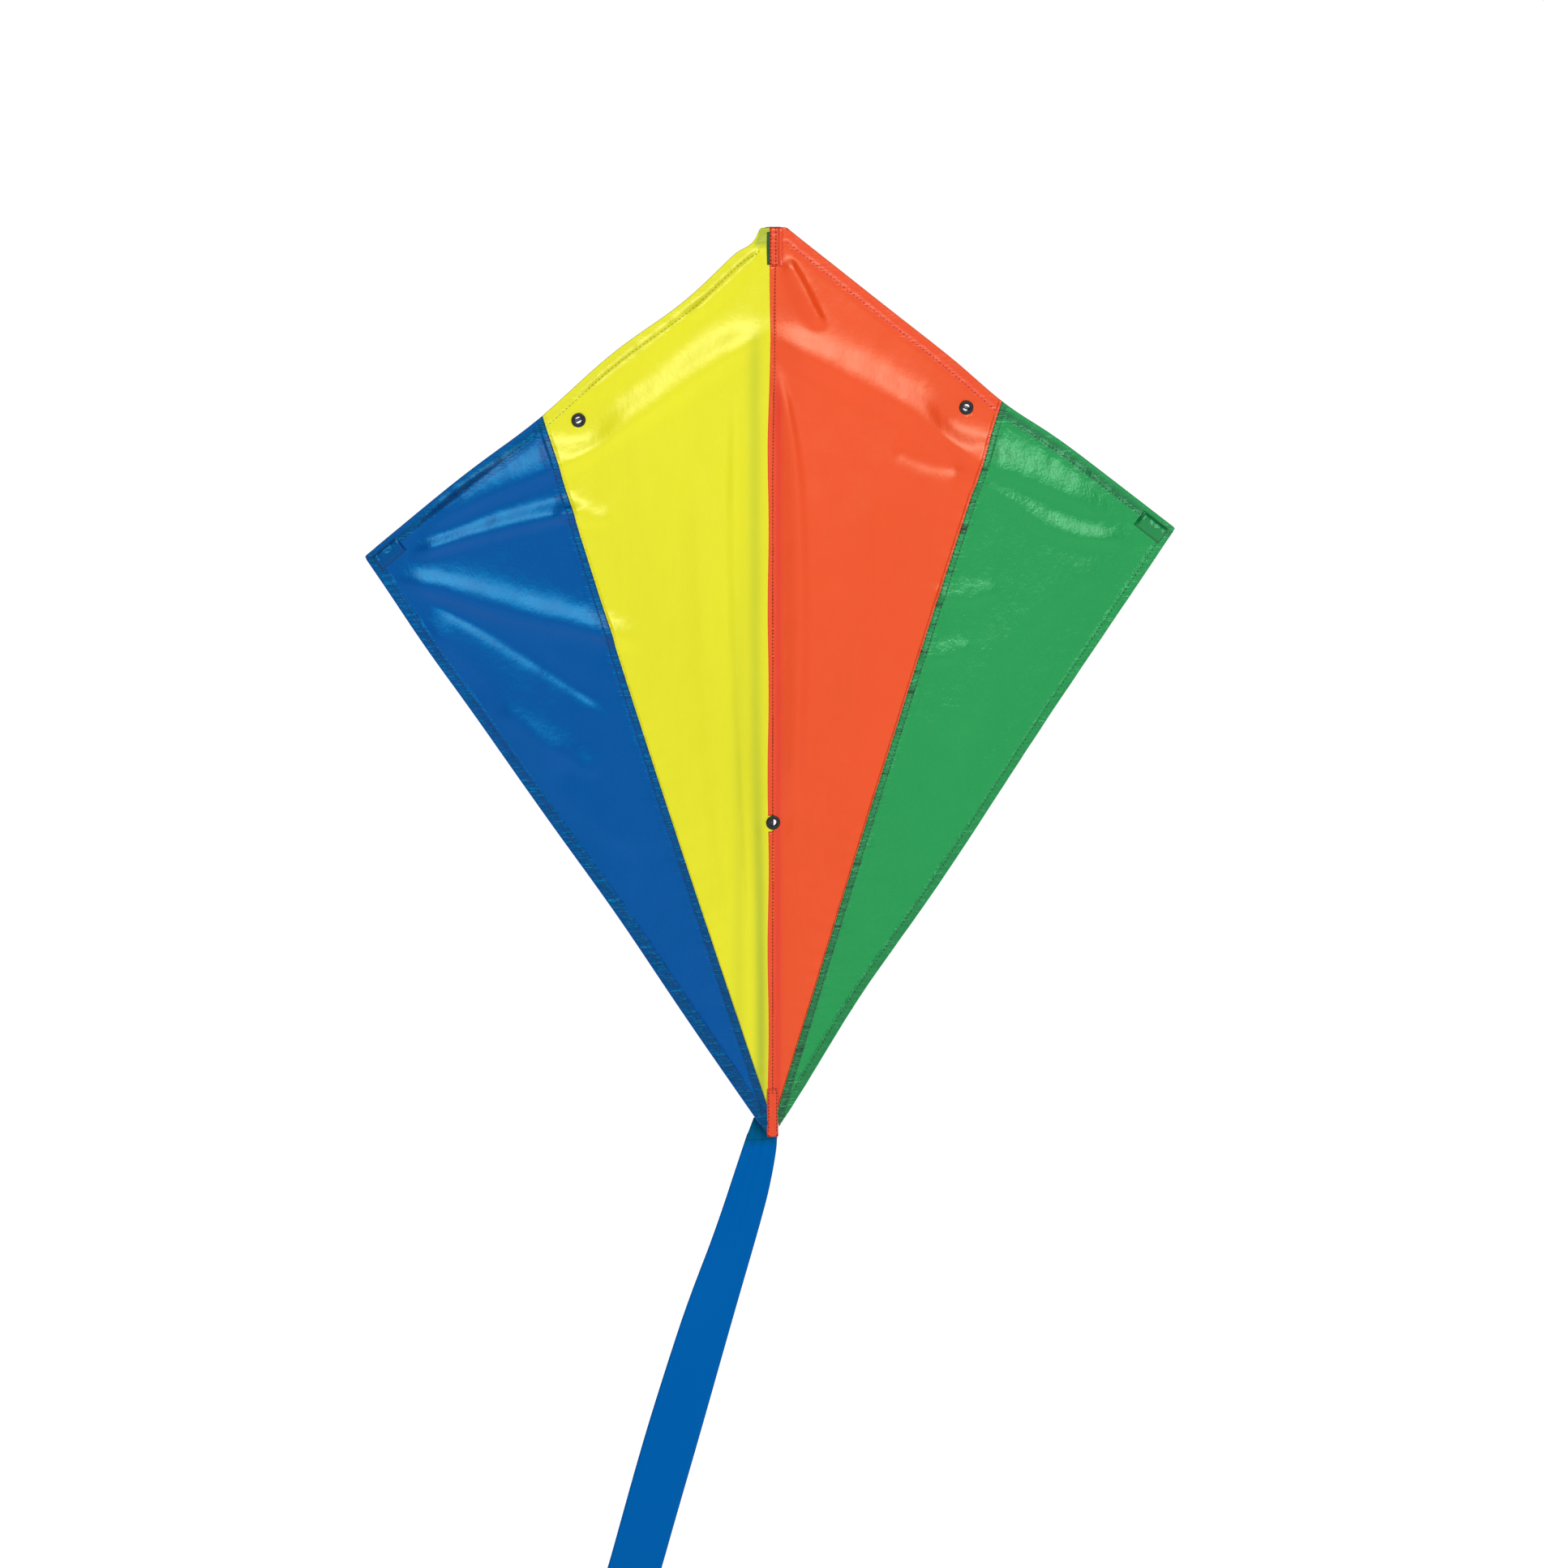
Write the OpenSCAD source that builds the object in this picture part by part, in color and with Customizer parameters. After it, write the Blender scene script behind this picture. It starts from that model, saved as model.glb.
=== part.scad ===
// Diamond kite: four-colour sail on a spine and an arched cross spar, with a ribbon tail.
// X runs to the right of the sail's face, Y towards its back and Z up the spine.
// The origin is the middle of the lower bridle eyelet, on the sail's face.

/* [Sail outline] */
// Tip to tip
span = 762; // [660:2:1000]
// Height of the nose above the lower eyelet
nose_rise = 557; // [500:1:700]
// Drop of the tail corner below the lower eyelet
tail_drop = 290; // [240:1:360]
// Drop of the wing tips below the nose
tip_drop = 293; // [250:1:340]
// Width of the straight edge at the nose
nose_w = 22.8; // [18:0.2:30]
// Thickness of the cloth
cloth_t = 0.4; // [0.2:0.05:0.6]

/* [Panels] */
// Distance of the seams' upper ends from the centre line
seam_x = 215.5; // [205:0.5:245]
// Height of the seams' lower ends above the tail corner
seam_foot = 13; // [8:1:30]
// Width of the centre strip that is felled along the spine
strip_w = 15.6; // [15:0.1:20]
// Gap between the centre strip and each wing
flex_gap = 0.4; // [0.3:0.05:0.8]

/* [Frame] */
// Diameter of the spine
spine_d = 4; // [3:0.1:5]
// Diameter of the cross spar
spar_d = 3; // [2:0.1:4]
// Distance of the spar's straight ends inside the leading edges
spar_inset = 12.4; // [11:0.1:16]
// Distance of each straight end's start from the centre line
spar_bend_x = 291; // [270:1:300]
// Room between a rod and what it lies behind
rod_gap = 0.25; // [0.2:0.05:1]
// Running room of a rod in a cap or joiner, on the radius
rod_fit = 0.05; // [0.02:0.01:0.1]
// Wall of the caps and of the centre joiner
cap_wall = 0.75; // [0.6:0.05:1.2]
// Length of the rod inside a cap
cap_grip = 12; // [8:1:20]
// Length of each of the joiner's two sleeves
joiner_len = 15; // [12:0.5:15]
// Wall of the centre joiner
joiner_wall = 1.4; // [1:0.1:2]

/* [Eyelets] */
// Diameter of the hole through an eyelet
eyelet_hole = 6.5; // [4:0.1:7]
// Outer diameter of an eyelet's flange
eyelet_d = 13.3; // [12:0.1:14]
// Height of the flange in front of the sail
flange_h = 1.6; // [1.2:0.1:2.2]
// Wall of the eyelet's barrel
barrel_wall = 0.9; // [0.7:0.05:1.1]
// Thickness of the washer behind the sail
washer_t = 1.2; // [0.8:0.1:2]
// Distance of the upper eyelets from the centre line
eyelet_x = 182; // [170:1:190]
// Running room round an eyelet's barrel, on the radius
barrel_fit = 0.05; // [0.03:0.01:0.1]

/* [Pockets and patches] */
// Thickness of the patches and of the pockets' walls
patch_t = 0.5; // [0.3:0.05:0.6]
// Length of the wing-tip pockets
tip_pocket_len = 30; // [26:0.5:32]
// Width of the wing-tip pockets
tip_pocket_w = 16; // [15:0.5:17]
// Distance of the wing-tip pockets' middle from the tip, along X
tip_pocket_x = 22.5; // [21:0.5:26]
// Length of the nose pocket
nose_pocket_len = 36; // [30:1:50]
// Width of the nose pocket
nose_pocket_w = 15; // [12:0.5:15]
// Length of the tail pocket
tail_pocket_len = 46; // [36:1:60]
// Width of the tail pocket
tail_pocket_w = 10; // [9:0.5:15]
// Length of the tail pocket below the tail corner
tail_pocket_out = 9.5; // [6:0.5:14]

/* [Tail] */
// Width of the tail ribbon
tail_w = 50; // [40:1:60]
// Length of the ribbon along its middle, from its sewn end
tail_len = 860; // [600:10:1200]
// Width of the ribbon where it is gathered
neck_w = 26; // [18:1:30]
// Length over which the ribbon spreads out
spread_len = 230; // [150:5:300]
// Slant of the hanging ribbon, towards the left
tail_slant = 16.5; // [0:0.5:25]
// Distance of the ribbon's pivot to the left of the centre line
tail_x = 8; // [0:0.5:10]
// Thickness of the ribbon
tail_t = 0.5; // [0.3:0.05:0.6]
// Height of the ribbon's sewn head
head_h = 20; // [18:1:26]
// Gap between the parts of the tail that move
tail_gap = 0.4; // [0.3:0.05:1]

/* [Hidden] */
$fn = 64;

// Sail corners, seen on the face, as [x, z] on the right half.
half_span = span / 2;
wing_x = strip_w / 2 + flex_gap;
tip = [half_span, nose_rise - tip_drop];
nose = [nose_w / 2, nose_rise];

// The leading edge's angle below level, and its height at a distance x.
lead_a = atan2(tip_drop, half_span - nose[0]);
function lead_z(x) = tip[1] + (half_span - x) * tan(lead_a);

tail_corner = [wing_x, -tail_drop];
seam_top = [seam_x, lead_z(seam_x)];
seam_end = [wing_x, -tail_drop + seam_foot];

// Depth of each layer behind the face.
back = cloth_t;
barrel_r = eyelet_hole / 2 + barrel_wall;
lip_t = 0.3;
lip_out = 0.6;
lip_r = barrel_r + lip_out;
barrel_back = back + washer_t + lip_t + 2 * barrel_fit;
spar_y = barrel_back + rod_gap + spar_d / 2;
spine_y = spar_y + spar_d / 2 + rod_gap + spine_d / 2;
tip_cap_r = spar_d / 2 + rod_fit + cap_wall;
spine_cap_r = spine_d / 2 + rod_fit + cap_wall;
cap_end = 1;

// Room in a pocket: behind and beyond a cap, and on each side of it under the flat top.
pocket_room = 0.3;
crown_room = 1.5;

// Spar: straight ends beside the leading edges, and one arc between them.
function spar_line_z(x) = lead_z(x) - spar_inset / cos(lead_a);
spar_r = spar_bend_x / sin(lead_a);
spar_centre_z = spar_line_z(spar_bend_x) - spar_r * cos(lead_a);
apex_z = spar_centre_z + spar_r;
eyelet_z = spar_centre_z + sqrt(pow(spar_r, 2) - pow(eyelet_x, 2));
pocket_mid = [half_span - tip_pocket_x, spar_line_z(half_span - tip_pocket_x)];
spar_end_back = patch_t + pocket_room + cap_end;
spar_end_along = tip_pocket_len / 2 - spar_end_back;
spar_end = [pocket_mid[0] + spar_end_along * cos(lead_a), pocket_mid[1] - spar_end_along * sin(lead_a)];
bend = [spar_bend_x, spar_line_z(spar_bend_x)];
spar_run = norm(spar_end - bend);
spar_sides = 12;
spar_steps = 28;

// Spine ends, inside the nose and tail pockets.
spine_top = nose_rise - patch_t - pocket_room - cap_end;
pocket_foot = -tail_drop - tail_pocket_out;
spine_foot = pocket_foot + patch_t + pocket_room + cap_end;
spine_hood_y = spine_y + spine_cap_r + pocket_room + patch_t;
tip_hood_y = spar_y + tip_cap_r + pocket_room + patch_t;

// Tail: the sewn head lies close behind the tail pocket, and the ribbon close behind the head.
head_y = spine_hood_y + tail_gap;
ribbon_y = head_y + tail_t + tail_gap;
head_lap = 6;
head_top = -tail_drop + head_lap;
pivot_drop = 3;
swing_z = head_top - neck_w / 2 - pivot_drop;
neck_top = 1.5;

// A flat sheet, drawn as [x, z], from depth y0 to y0 + t.
module flat(y0, t) {
    translate([0, y0 + t, 0]) rotate([90, 0, 0]) linear_extrude(t) children();
}

// The same piece on the left half of the kite.
module on_left() {
    mirror([1, 0, 0]) children();
}

module inner_panel() {
    difference() {
        flat(0, cloth_t) polygon([[wing_x, nose_rise], nose, seam_top, seam_end]);
        eyelet_place(eyelet_x, eyelet_z) cylinder(h = 4 * cloth_t, r = barrel_r + barrel_fit, center = true);
    }
}

module outer_panel() {
    flat(0, cloth_t) polygon([seam_top, tip, tail_corner, seam_end]);
}

module centre_cloth() {
    difference() {
        flat(0, cloth_t) translate([-strip_w / 2, -tail_drop]) square([strip_w, nose_rise + tail_drop]);
        eyelet_place(0, 0) cylinder(h = 4 * cloth_t, r = barrel_r + barrel_fit, center = true);
    }
}

// Puts a piece that is made about +Z on the sail at [x, z], with +Z turned to the back.
module eyelet_place(x, z) {
    translate([x, 0, z]) rotate([-90, 0, 0]) children();
}

// Eyelet: rounded flange in front, barrel through the cloth and rolled lip behind the washer.
module eyelet() {
    round_r = flange_h / 2;
    hole_r = eyelet_hole / 2;
    edge_r = 0.6;
    difference() {
        rotate_extrude() {
            difference() {
                union() {
                    translate([0, -flange_h]) square([eyelet_d / 2 - round_r, flange_h]);
                    translate([eyelet_d / 2 - round_r, -round_r]) circle(r = round_r);
                    translate([0, -round_r]) square([eyelet_d / 2, round_r]);
                    square([barrel_r, barrel_back]);
                    translate([0, barrel_back - lip_t]) square([lip_r, lip_t]);
                }
                difference() {
                    translate([0, -flange_h - edge_r]) square([hole_r + edge_r, 2 * edge_r]);
                    translate([hole_r + edge_r, -flange_h + edge_r]) circle(r = edge_r);
                }
            }
        }
        cylinder(h = 4 * (flange_h + barrel_back), r = hole_r, center = true);
    }
}

module washer() {
    flange_lap = 0.5;
    outer_r = eyelet_d / 2 - flange_lap;
    translate([0, 0, back]) difference() {
        cylinder(h = washer_t, r = outer_r);
        cylinder(h = 4 * washer_t, r = barrel_r + barrel_fit, center = true);
    }
}

// Pocket behind the sail, made along +X with its closed end there, over a cap of radius cap_r.
module hood(len, w, hood_y, cap_r) {
    crown = cap_r + crown_room;
    slant_share = 1.3;
    side = patch_t * slant_share;
    open_y = back - patch_t;
    outer = [[-w / 2, back], [-crown, hood_y], [crown, hood_y], [w / 2, back]];
    inner = [
        [-w / 2 + side, open_y], [-w / 2 + side, back], [-crown + side, hood_y - patch_t],
        [crown - side, hood_y - patch_t], [w / 2 - side, back], [w / 2 - side, open_y]
    ];
    rotate([0, 90, 0]) {
        translate([0, 0, -len / 2]) linear_extrude(len - patch_t) difference() {
            polygon(outer);
            polygon(inner);
        }
        translate([0, 0, len / 2 - patch_t]) linear_extrude(patch_t) polygon(outer);
    }
}

// A wing-tip piece made along +X, turned parallel to the leading edge at the pocket's place.
module at_tip() {
    translate([pocket_mid[0], 0, pocket_mid[1]]) rotate([0, lead_a, 0]) children();
}

module tip_patch() {
    at_tip() flat(-patch_t, patch_t) square([tip_pocket_len, tip_pocket_w], center = true);
}

module tip_pocket() {
    at_tip() hood(tip_pocket_len, tip_pocket_w, tip_hood_y, tip_cap_r);
}

// The straight run of the spar towards a tip: +Z along the rod, from its bend.
module along_spar_end() {
    translate([bend[0], spar_y, bend[1]]) rotate([0, 90 + lead_a, 0]) children();
}

// A cap on a rod's end: the rod ends at z = 0 and comes up from below.
module cap(rod_r, grip) {
    r = rod_r + rod_fit + cap_wall;
    difference() {
        translate([0, 0, -grip]) cylinder(h = grip + cap_end, r = r);
        translate([0, 0, -2 * grip]) cylinder(h = 2 * grip, r = rod_r + rod_fit);
    }
}

module tip_cap() {
    along_spar_end() translate([0, 0, spar_run]) cap(spar_d / 2, cap_grip);
}

module spine() {
    color("dimgray") translate([0, spine_y, spine_foot]) cylinder(h = spine_top - spine_foot, r = spine_d / 2);
}

// One ring of the spar at [x, z, slope], and the closed tube through a row of such rings.
function spar_ring(at) = [
    for (k = [0:spar_sides - 1])
        let (turn = 360 * k / spar_sides, out = spar_d / 2 * cos(turn))
        [at[0] + out * sin(at[2]), spar_y + spar_d / 2 * sin(turn), at[1] + out * cos(at[2])]
];

module tube(rings, sides) {
    last = len(rings) - 1;
    polyhedron(
        points = [for (ring = rings) each ring],
        faces = [
            [for (k = [0:sides - 1]) k],
            for (i = [0:last - 1], k = [0:sides - 1])
                let (next = (k + 1) % sides)
                [i * sides + k, (i + 1) * sides + k, (i + 1) * sides + next, i * sides + next],
            [for (k = [sides - 1:-1:0]) last * sides + k]
        ]
    );
}

module cross_spar() {
    arc = [
        for (i = [0:spar_steps])
            let (a = lead_a * (2 * i / spar_steps - 1))
            [spar_r * sin(a), spar_centre_z + spar_r * cos(a), a]
    ];
    ends = [[-spar_end[0], spar_end[1], -lead_a], [spar_end[0], spar_end[1], lead_a]];
    color("slategray") tube([for (at = concat([ends[0]], arc, [ends[1]])) spar_ring(at)], spar_sides);
}

// Moulded joiner: an upright sleeve on the spine and a level sleeve on the spar.
module centre_joiner() {
    spine_r = spine_d / 2 + rod_fit;
    sag = spar_r - sqrt(pow(spar_r, 2) - pow(joiner_len / 2, 2));
    spar_bore = spar_d / 2 + rod_fit + sag;
    color("black") difference() {
        union() {
            translate([0, spine_y, apex_z - joiner_len / 2]) cylinder(h = joiner_len, r = spine_r + joiner_wall);
            translate([-joiner_len / 2, spar_y, apex_z]) rotate([0, 90, 0])
                cylinder(h = joiner_len, r = spar_bore + joiner_wall);
            translate([-spine_r, spar_y, apex_z - spar_bore])
                cube([2 * spine_r, spine_y - spar_y, 2 * spar_bore]);
        }
        translate([0, spine_y, apex_z]) cylinder(h = 2 * joiner_len, r = spine_r, center = true);
        translate([0, spar_y, apex_z]) rotate([0, 90, 0]) cylinder(h = 2 * joiner_len, r = spar_bore, center = true);
    }
}

module spine_nose_cap() {
    color("black") translate([0, spine_y, spine_top]) cap(spine_d / 2, cap_grip);
}

module spine_tail_cap() {
    color("black") translate([0, spine_y, spine_foot]) mirror([0, 0, 1]) cap(spine_d / 2, cap_grip);
}

module left_tip_cap() {
    color("black") on_left() tip_cap();
}

module right_tip_cap() {
    color("black") tip_cap();
}

module panel_blue() {
    color("#0055a0") on_left() outer_panel();
}

module panel_yellow() {
    color("#e8e61e") on_left() inner_panel();
}

module centre_strip() {
    color("#e8502d") centre_cloth();
}

module panel_orange() {
    color("#f25a2d") inner_panel();
}

module panel_green() {
    color("#00a055") outer_panel();
}

module nose_patch() {
    color("#f25a2d") flat(-patch_t, patch_t)
        translate([-nose_pocket_w / 2, nose_rise - nose_pocket_len]) square([nose_pocket_w, nose_pocket_len]);
}

// The tail patch folds round the end of the tail pocket.
module tail_patch() {
    half = tail_pocket_w / 2;
    color("#f25a2d") {
        flat(-patch_t, patch_t) {
            translate([-half, pocket_foot + half]) square([tail_pocket_w, tail_pocket_len - half]);
            translate([0, pocket_foot + half]) circle(r = half);
        }
    }
}

module left_tip_patch() {
    color("#0055a0") on_left() tip_patch();
}

module right_tip_patch() {
    color("#00a055") tip_patch();
}

module nose_pocket() {
    color("#f25a2d") translate([0, 0, nose_rise - nose_pocket_len / 2]) rotate([0, -90, 0])
        hood(nose_pocket_len, nose_pocket_w, spine_hood_y, spine_cap_r);
}

module tail_pocket() {
    color("#f25a2d") {
        translate([0, 0, pocket_foot + tail_pocket_len / 2]) rotate([0, 90, 0])
            hood(tail_pocket_len, tail_pocket_w, spine_hood_y, spine_cap_r);
        flat(0, back) translate([-tail_pocket_w / 4, pocket_foot]) square([tail_pocket_w / 2, patch_t]);
    }
}

module left_tip_pocket() {
    color("#0055a0") on_left() tip_pocket();
}

module right_tip_pocket() {
    color("#00a055") tip_pocket();
}

module lower_eyelet() {
    color("black") eyelet_place(0, 0) eyelet();
}

module left_eyelet() {
    color("black") eyelet_place(-eyelet_x, eyelet_z) eyelet();
}

module right_eyelet() {
    color("black") eyelet_place(eyelet_x, eyelet_z) eyelet();
}

module lower_washer() {
    color("black") eyelet_place(0, 0) washer();
}

module left_washer() {
    color("black") eyelet_place(-eyelet_x, eyelet_z) washer();
}

module right_washer() {
    color("black") eyelet_place(eyelet_x, eyelet_z) washer();
}

// Sewn head of the ribbon: a short folded band behind the tail pocket.
module tail_head() {
    color("#005daa") flat(head_y, tail_t)
        translate([-tail_x - neck_w / 2, head_top - head_h]) square([neck_w, head_h]);
}

// The ribbon spreads from its gathered neck to its full width and ends square.
module tail_ribbon() {
    color("#005daa") translate([-tail_x, 0, swing_z]) rotate([0, tail_slant, 0]) flat(ribbon_y, tail_t)
        polygon([
            [-neck_w / 2, neck_top], [neck_w / 2, neck_top], [tail_w / 2, neck_top - spread_len],
            [tail_w / 2, neck_top - tail_len], [-tail_w / 2, neck_top - tail_len],
            [-tail_w / 2, neck_top - spread_len]
        ]);
}

spine();
cross_spar();
centre_joiner();
spine_nose_cap();
spine_tail_cap();
left_tip_cap();
right_tip_cap();
panel_blue();
panel_yellow();
centre_strip();
panel_orange();
panel_green();
nose_patch();
tail_patch();
left_tip_patch();
right_tip_patch();
nose_pocket();
tail_pocket();
left_tip_pocket();
right_tip_pocket();
lower_eyelet();
left_eyelet();
right_eyelet();
lower_washer();
left_washer();
right_washer();
tail_head();
tail_ribbon();
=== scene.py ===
import math

import bmesh
import bpy
import numpy as np
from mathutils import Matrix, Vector, noise


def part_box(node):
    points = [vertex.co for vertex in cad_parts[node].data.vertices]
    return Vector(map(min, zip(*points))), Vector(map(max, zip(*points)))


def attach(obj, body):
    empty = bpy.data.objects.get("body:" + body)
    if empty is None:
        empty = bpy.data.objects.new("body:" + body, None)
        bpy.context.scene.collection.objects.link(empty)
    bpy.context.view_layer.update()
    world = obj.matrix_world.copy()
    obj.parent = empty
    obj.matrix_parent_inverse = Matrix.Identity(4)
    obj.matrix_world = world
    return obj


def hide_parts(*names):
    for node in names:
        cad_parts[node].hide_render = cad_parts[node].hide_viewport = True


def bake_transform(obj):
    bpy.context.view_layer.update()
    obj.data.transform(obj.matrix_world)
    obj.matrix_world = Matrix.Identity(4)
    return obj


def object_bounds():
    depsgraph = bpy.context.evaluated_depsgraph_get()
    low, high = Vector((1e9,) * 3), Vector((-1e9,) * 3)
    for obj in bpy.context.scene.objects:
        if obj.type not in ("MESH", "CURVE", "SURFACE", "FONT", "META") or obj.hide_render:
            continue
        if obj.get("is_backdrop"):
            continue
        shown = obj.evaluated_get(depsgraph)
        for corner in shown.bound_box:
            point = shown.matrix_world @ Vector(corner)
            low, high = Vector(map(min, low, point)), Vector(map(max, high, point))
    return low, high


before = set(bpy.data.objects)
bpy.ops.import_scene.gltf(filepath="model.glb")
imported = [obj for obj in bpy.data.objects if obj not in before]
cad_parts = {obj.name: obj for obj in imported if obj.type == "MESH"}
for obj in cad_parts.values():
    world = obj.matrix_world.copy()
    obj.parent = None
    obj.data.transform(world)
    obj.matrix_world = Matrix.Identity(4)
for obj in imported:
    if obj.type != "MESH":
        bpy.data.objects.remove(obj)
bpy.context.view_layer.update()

bl_info = {
    "name": "Diamond kite",
    "version": (1, 0, 0),
    "blender": (4, 5, 0),
    "location": "View3D > Sidebar > Kite",
    "description": "Cloth, seams, hems, stitches, rods and ribbon tail of a four-colour diamond kite",
    "category": "Object",
}

MM = 0.001
LEFT, RIGHT = -1, 1
WING = {LEFT: "left_wing", RIGHT: "right_wing"}
SIDE_NAME = {LEFT: "left", RIGHT: "right"}
BEND_END = 0.11  # distance out from the centre; hinge_blend reads it but bends nothing


# ---------------------------------------------------------------- places read from the frame


def node_points(node):
    """The corners of a frame node, as an array of [x, y, z]."""
    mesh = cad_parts[node].data
    points = np.empty(len(mesh.vertices) * 3, np.float32)
    mesh.vertices.foreach_get("co", points)
    return points.reshape(-1, 3).astype(float)


def farthest(node, direction):
    """The node's corner that lies farthest along a direction."""
    points = node_points(node)
    return points[np.argmax(points @ np.array(direction, float))]


def middle(node):
    low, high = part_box(node)
    return (Vector(low) + Vector(high)) / 2


class Plan:
    """The kite's main points, in metres, as the frame has them: x and z on the sail's face."""

    nose = farthest("panel_orange", (0.05, 0, 1))[[0, 2]]
    tip = farthest("panel_green", (1, 0, 0))[[0, 2]]
    seam_top = farthest("panel_green", (0, 0, 1))[[0, 2]]
    seam_end = farthest("panel_orange", (0, 0, -1))[[0, 2]]
    tail = farthest("panel_green", (0, 0, -1))[[0, 2]]
    strip = farthest("centre_strip", (1, 0, 0))[0]
    cloth_back = farthest("panel_orange", (0, 1, 0))[1]
    eyelet = [middle("right_eyelet").x, middle("right_eyelet").z]
    eyelet_r = (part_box("right_eyelet")[1][0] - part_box("right_eyelet")[0][0]) / 2
    lead_slope = (nose[1] - tip[1]) / (tip[0] - nose[0])
    lead_angle = math.atan(lead_slope)
    tail_slope = (tip[1] - tail[1]) / (tip[0] - tail[0])
    spar_y = middle("cross_spar").y


# ---------------------------------------------------------------- settings


class KiteSailSettings(bpy.types.PropertyGroup):
    """Sizes and colours of the sail."""

    cloth_t: bpy.props.FloatProperty(
        name="Cloth thickness", description="Thickness of the sail cloth", default=0.25 * MM, unit="LENGTH"
    )
    lead_hem: bpy.props.FloatProperty(
        name="Leading hem", description="Width of the leading edges' hems", default=11 * MM, unit="LENGTH"
    )
    trail_hem: bpy.props.FloatProperty(
        name="Trailing hem", description="Width of the trailing edges' hems", default=8 * MM, unit="LENGTH"
    )
    seam_band: bpy.props.FloatProperty(
        name="Seam band", description="Width of the felled panel seams", default=7 * MM, unit="LENGTH"
    )
    fold_share: bpy.props.FloatProperty(
        name="Folds", description="Share of the folds' full height", default=1.0, subtype="FACTOR"
    )
    blue: bpy.props.FloatVectorProperty(
        name="Blue",
        description="Colour of the left outer panel",
        default=(0.0, 0.038, 0.228),
        subtype="COLOR",
    )
    yellow: bpy.props.FloatVectorProperty(
        name="Yellow",
        description="Colour of the left inner panel",
        default=(0.62, 0.605, 0.002),
        subtype="COLOR",
    )
    orange: bpy.props.FloatVectorProperty(
        name="Orange",
        description="Colour of the right inner panel",
        default=(0.66, 0.046, 0.002),
        subtype="COLOR",
    )
    green: bpy.props.FloatVectorProperty(
        name="Green",
        description="Colour of the right outer panel",
        default=(0.0, 0.218, 0.044),
        subtype="COLOR",
    )


class KiteSewingSettings(bpy.types.PropertyGroup):
    """Sizes of the stitches."""

    pitch: bpy.props.FloatProperty(
        name="Stitch pitch", description="Distance from stitch to stitch", default=4 * MM, unit="LENGTH"
    )
    length: bpy.props.FloatProperty(
        name="Stitch length", description="Length of one stitch", default=2.9 * MM, unit="LENGTH"
    )
    thread_r: bpy.props.FloatProperty(
        name="Thread radius", description="Half the thread's thickness", default=0.42 * MM, unit="LENGTH"
    )


class KiteTailSettings(bpy.types.PropertyGroup):
    """Shape and colour of the ribbon tail."""

    width: bpy.props.FloatProperty(
        name="Ribbon width", description="Full width of the ribbon", default=50 * MM, unit="LENGTH"
    )
    sway: bpy.props.FloatProperty(
        name="Sway", description="Depth of the ribbon's soft waves", default=5 * MM, unit="LENGTH"
    )
    colour: bpy.props.FloatVectorProperty(
        name="Ribbon colour", description="Colour of the ribbon", default=(0.0, 0.083, 0.312), subtype="COLOR"
    )


class KiteStageSettings(bpy.types.PropertyGroup):
    """Camera and light."""

    azimuth: bpy.props.FloatProperty(
        name="Azimuth",
        description="Camera's turn round the kite",
        default=math.radians(-11.35),
        subtype="ANGLE",
    )
    elevation: bpy.props.FloatProperty(
        name="Elevation", description="Camera's height angle", default=math.radians(11.5), subtype="ANGLE"
    )
    distance: bpy.props.FloatProperty(
        name="Distance", description="Camera to the kite", default=9.0, unit="LENGTH"
    )
    lens: bpy.props.FloatProperty(name="Lens", description="Focal length, mm", default=222.9)
    aim: bpy.props.FloatVectorProperty(
        name="Aim", description="Point that the camera looks at", default=(-0.001, 0.0, 0.0366), subtype="XYZ"
    )
    key: bpy.props.FloatProperty(name="Key light", description="Power of the key light, W", default=14.0)
    gleam: bpy.props.FloatProperty(name="Gleam", description="Power of the wide low light, W", default=125.0)
    sky: bpy.props.FloatProperty(name="Sky", description="Strength of the white surroundings", default=0.1)


# ---------------------------------------------------------------- shader wrapper


class Value:
    """A number in a shader tree: Python's operators on it add Math nodes."""

    def __init__(self, tree, socket):
        self.tree, self.socket = tree, socket

    def _math(self, operation, first, second=None):
        inputs = {0: first} if second is None else {0: first, 1: second}
        return self.tree.node("ShaderNodeMath", {"operation": operation}, inputs)

    def __add__(self, other):
        return self._math("ADD", self, other)

    def __radd__(self, other):
        return self._math("ADD", other, self)

    def __sub__(self, other):
        return self._math("SUBTRACT", self, other)

    def __mul__(self, other):
        return self._math("MULTIPLY", self, other)

    def __rmul__(self, other):
        return self._math("MULTIPLY", other, self)

    def __pow__(self, other):
        return self._math("POWER", self, other)

    def sine(self):
        return self._math("SINE", self)


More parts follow.
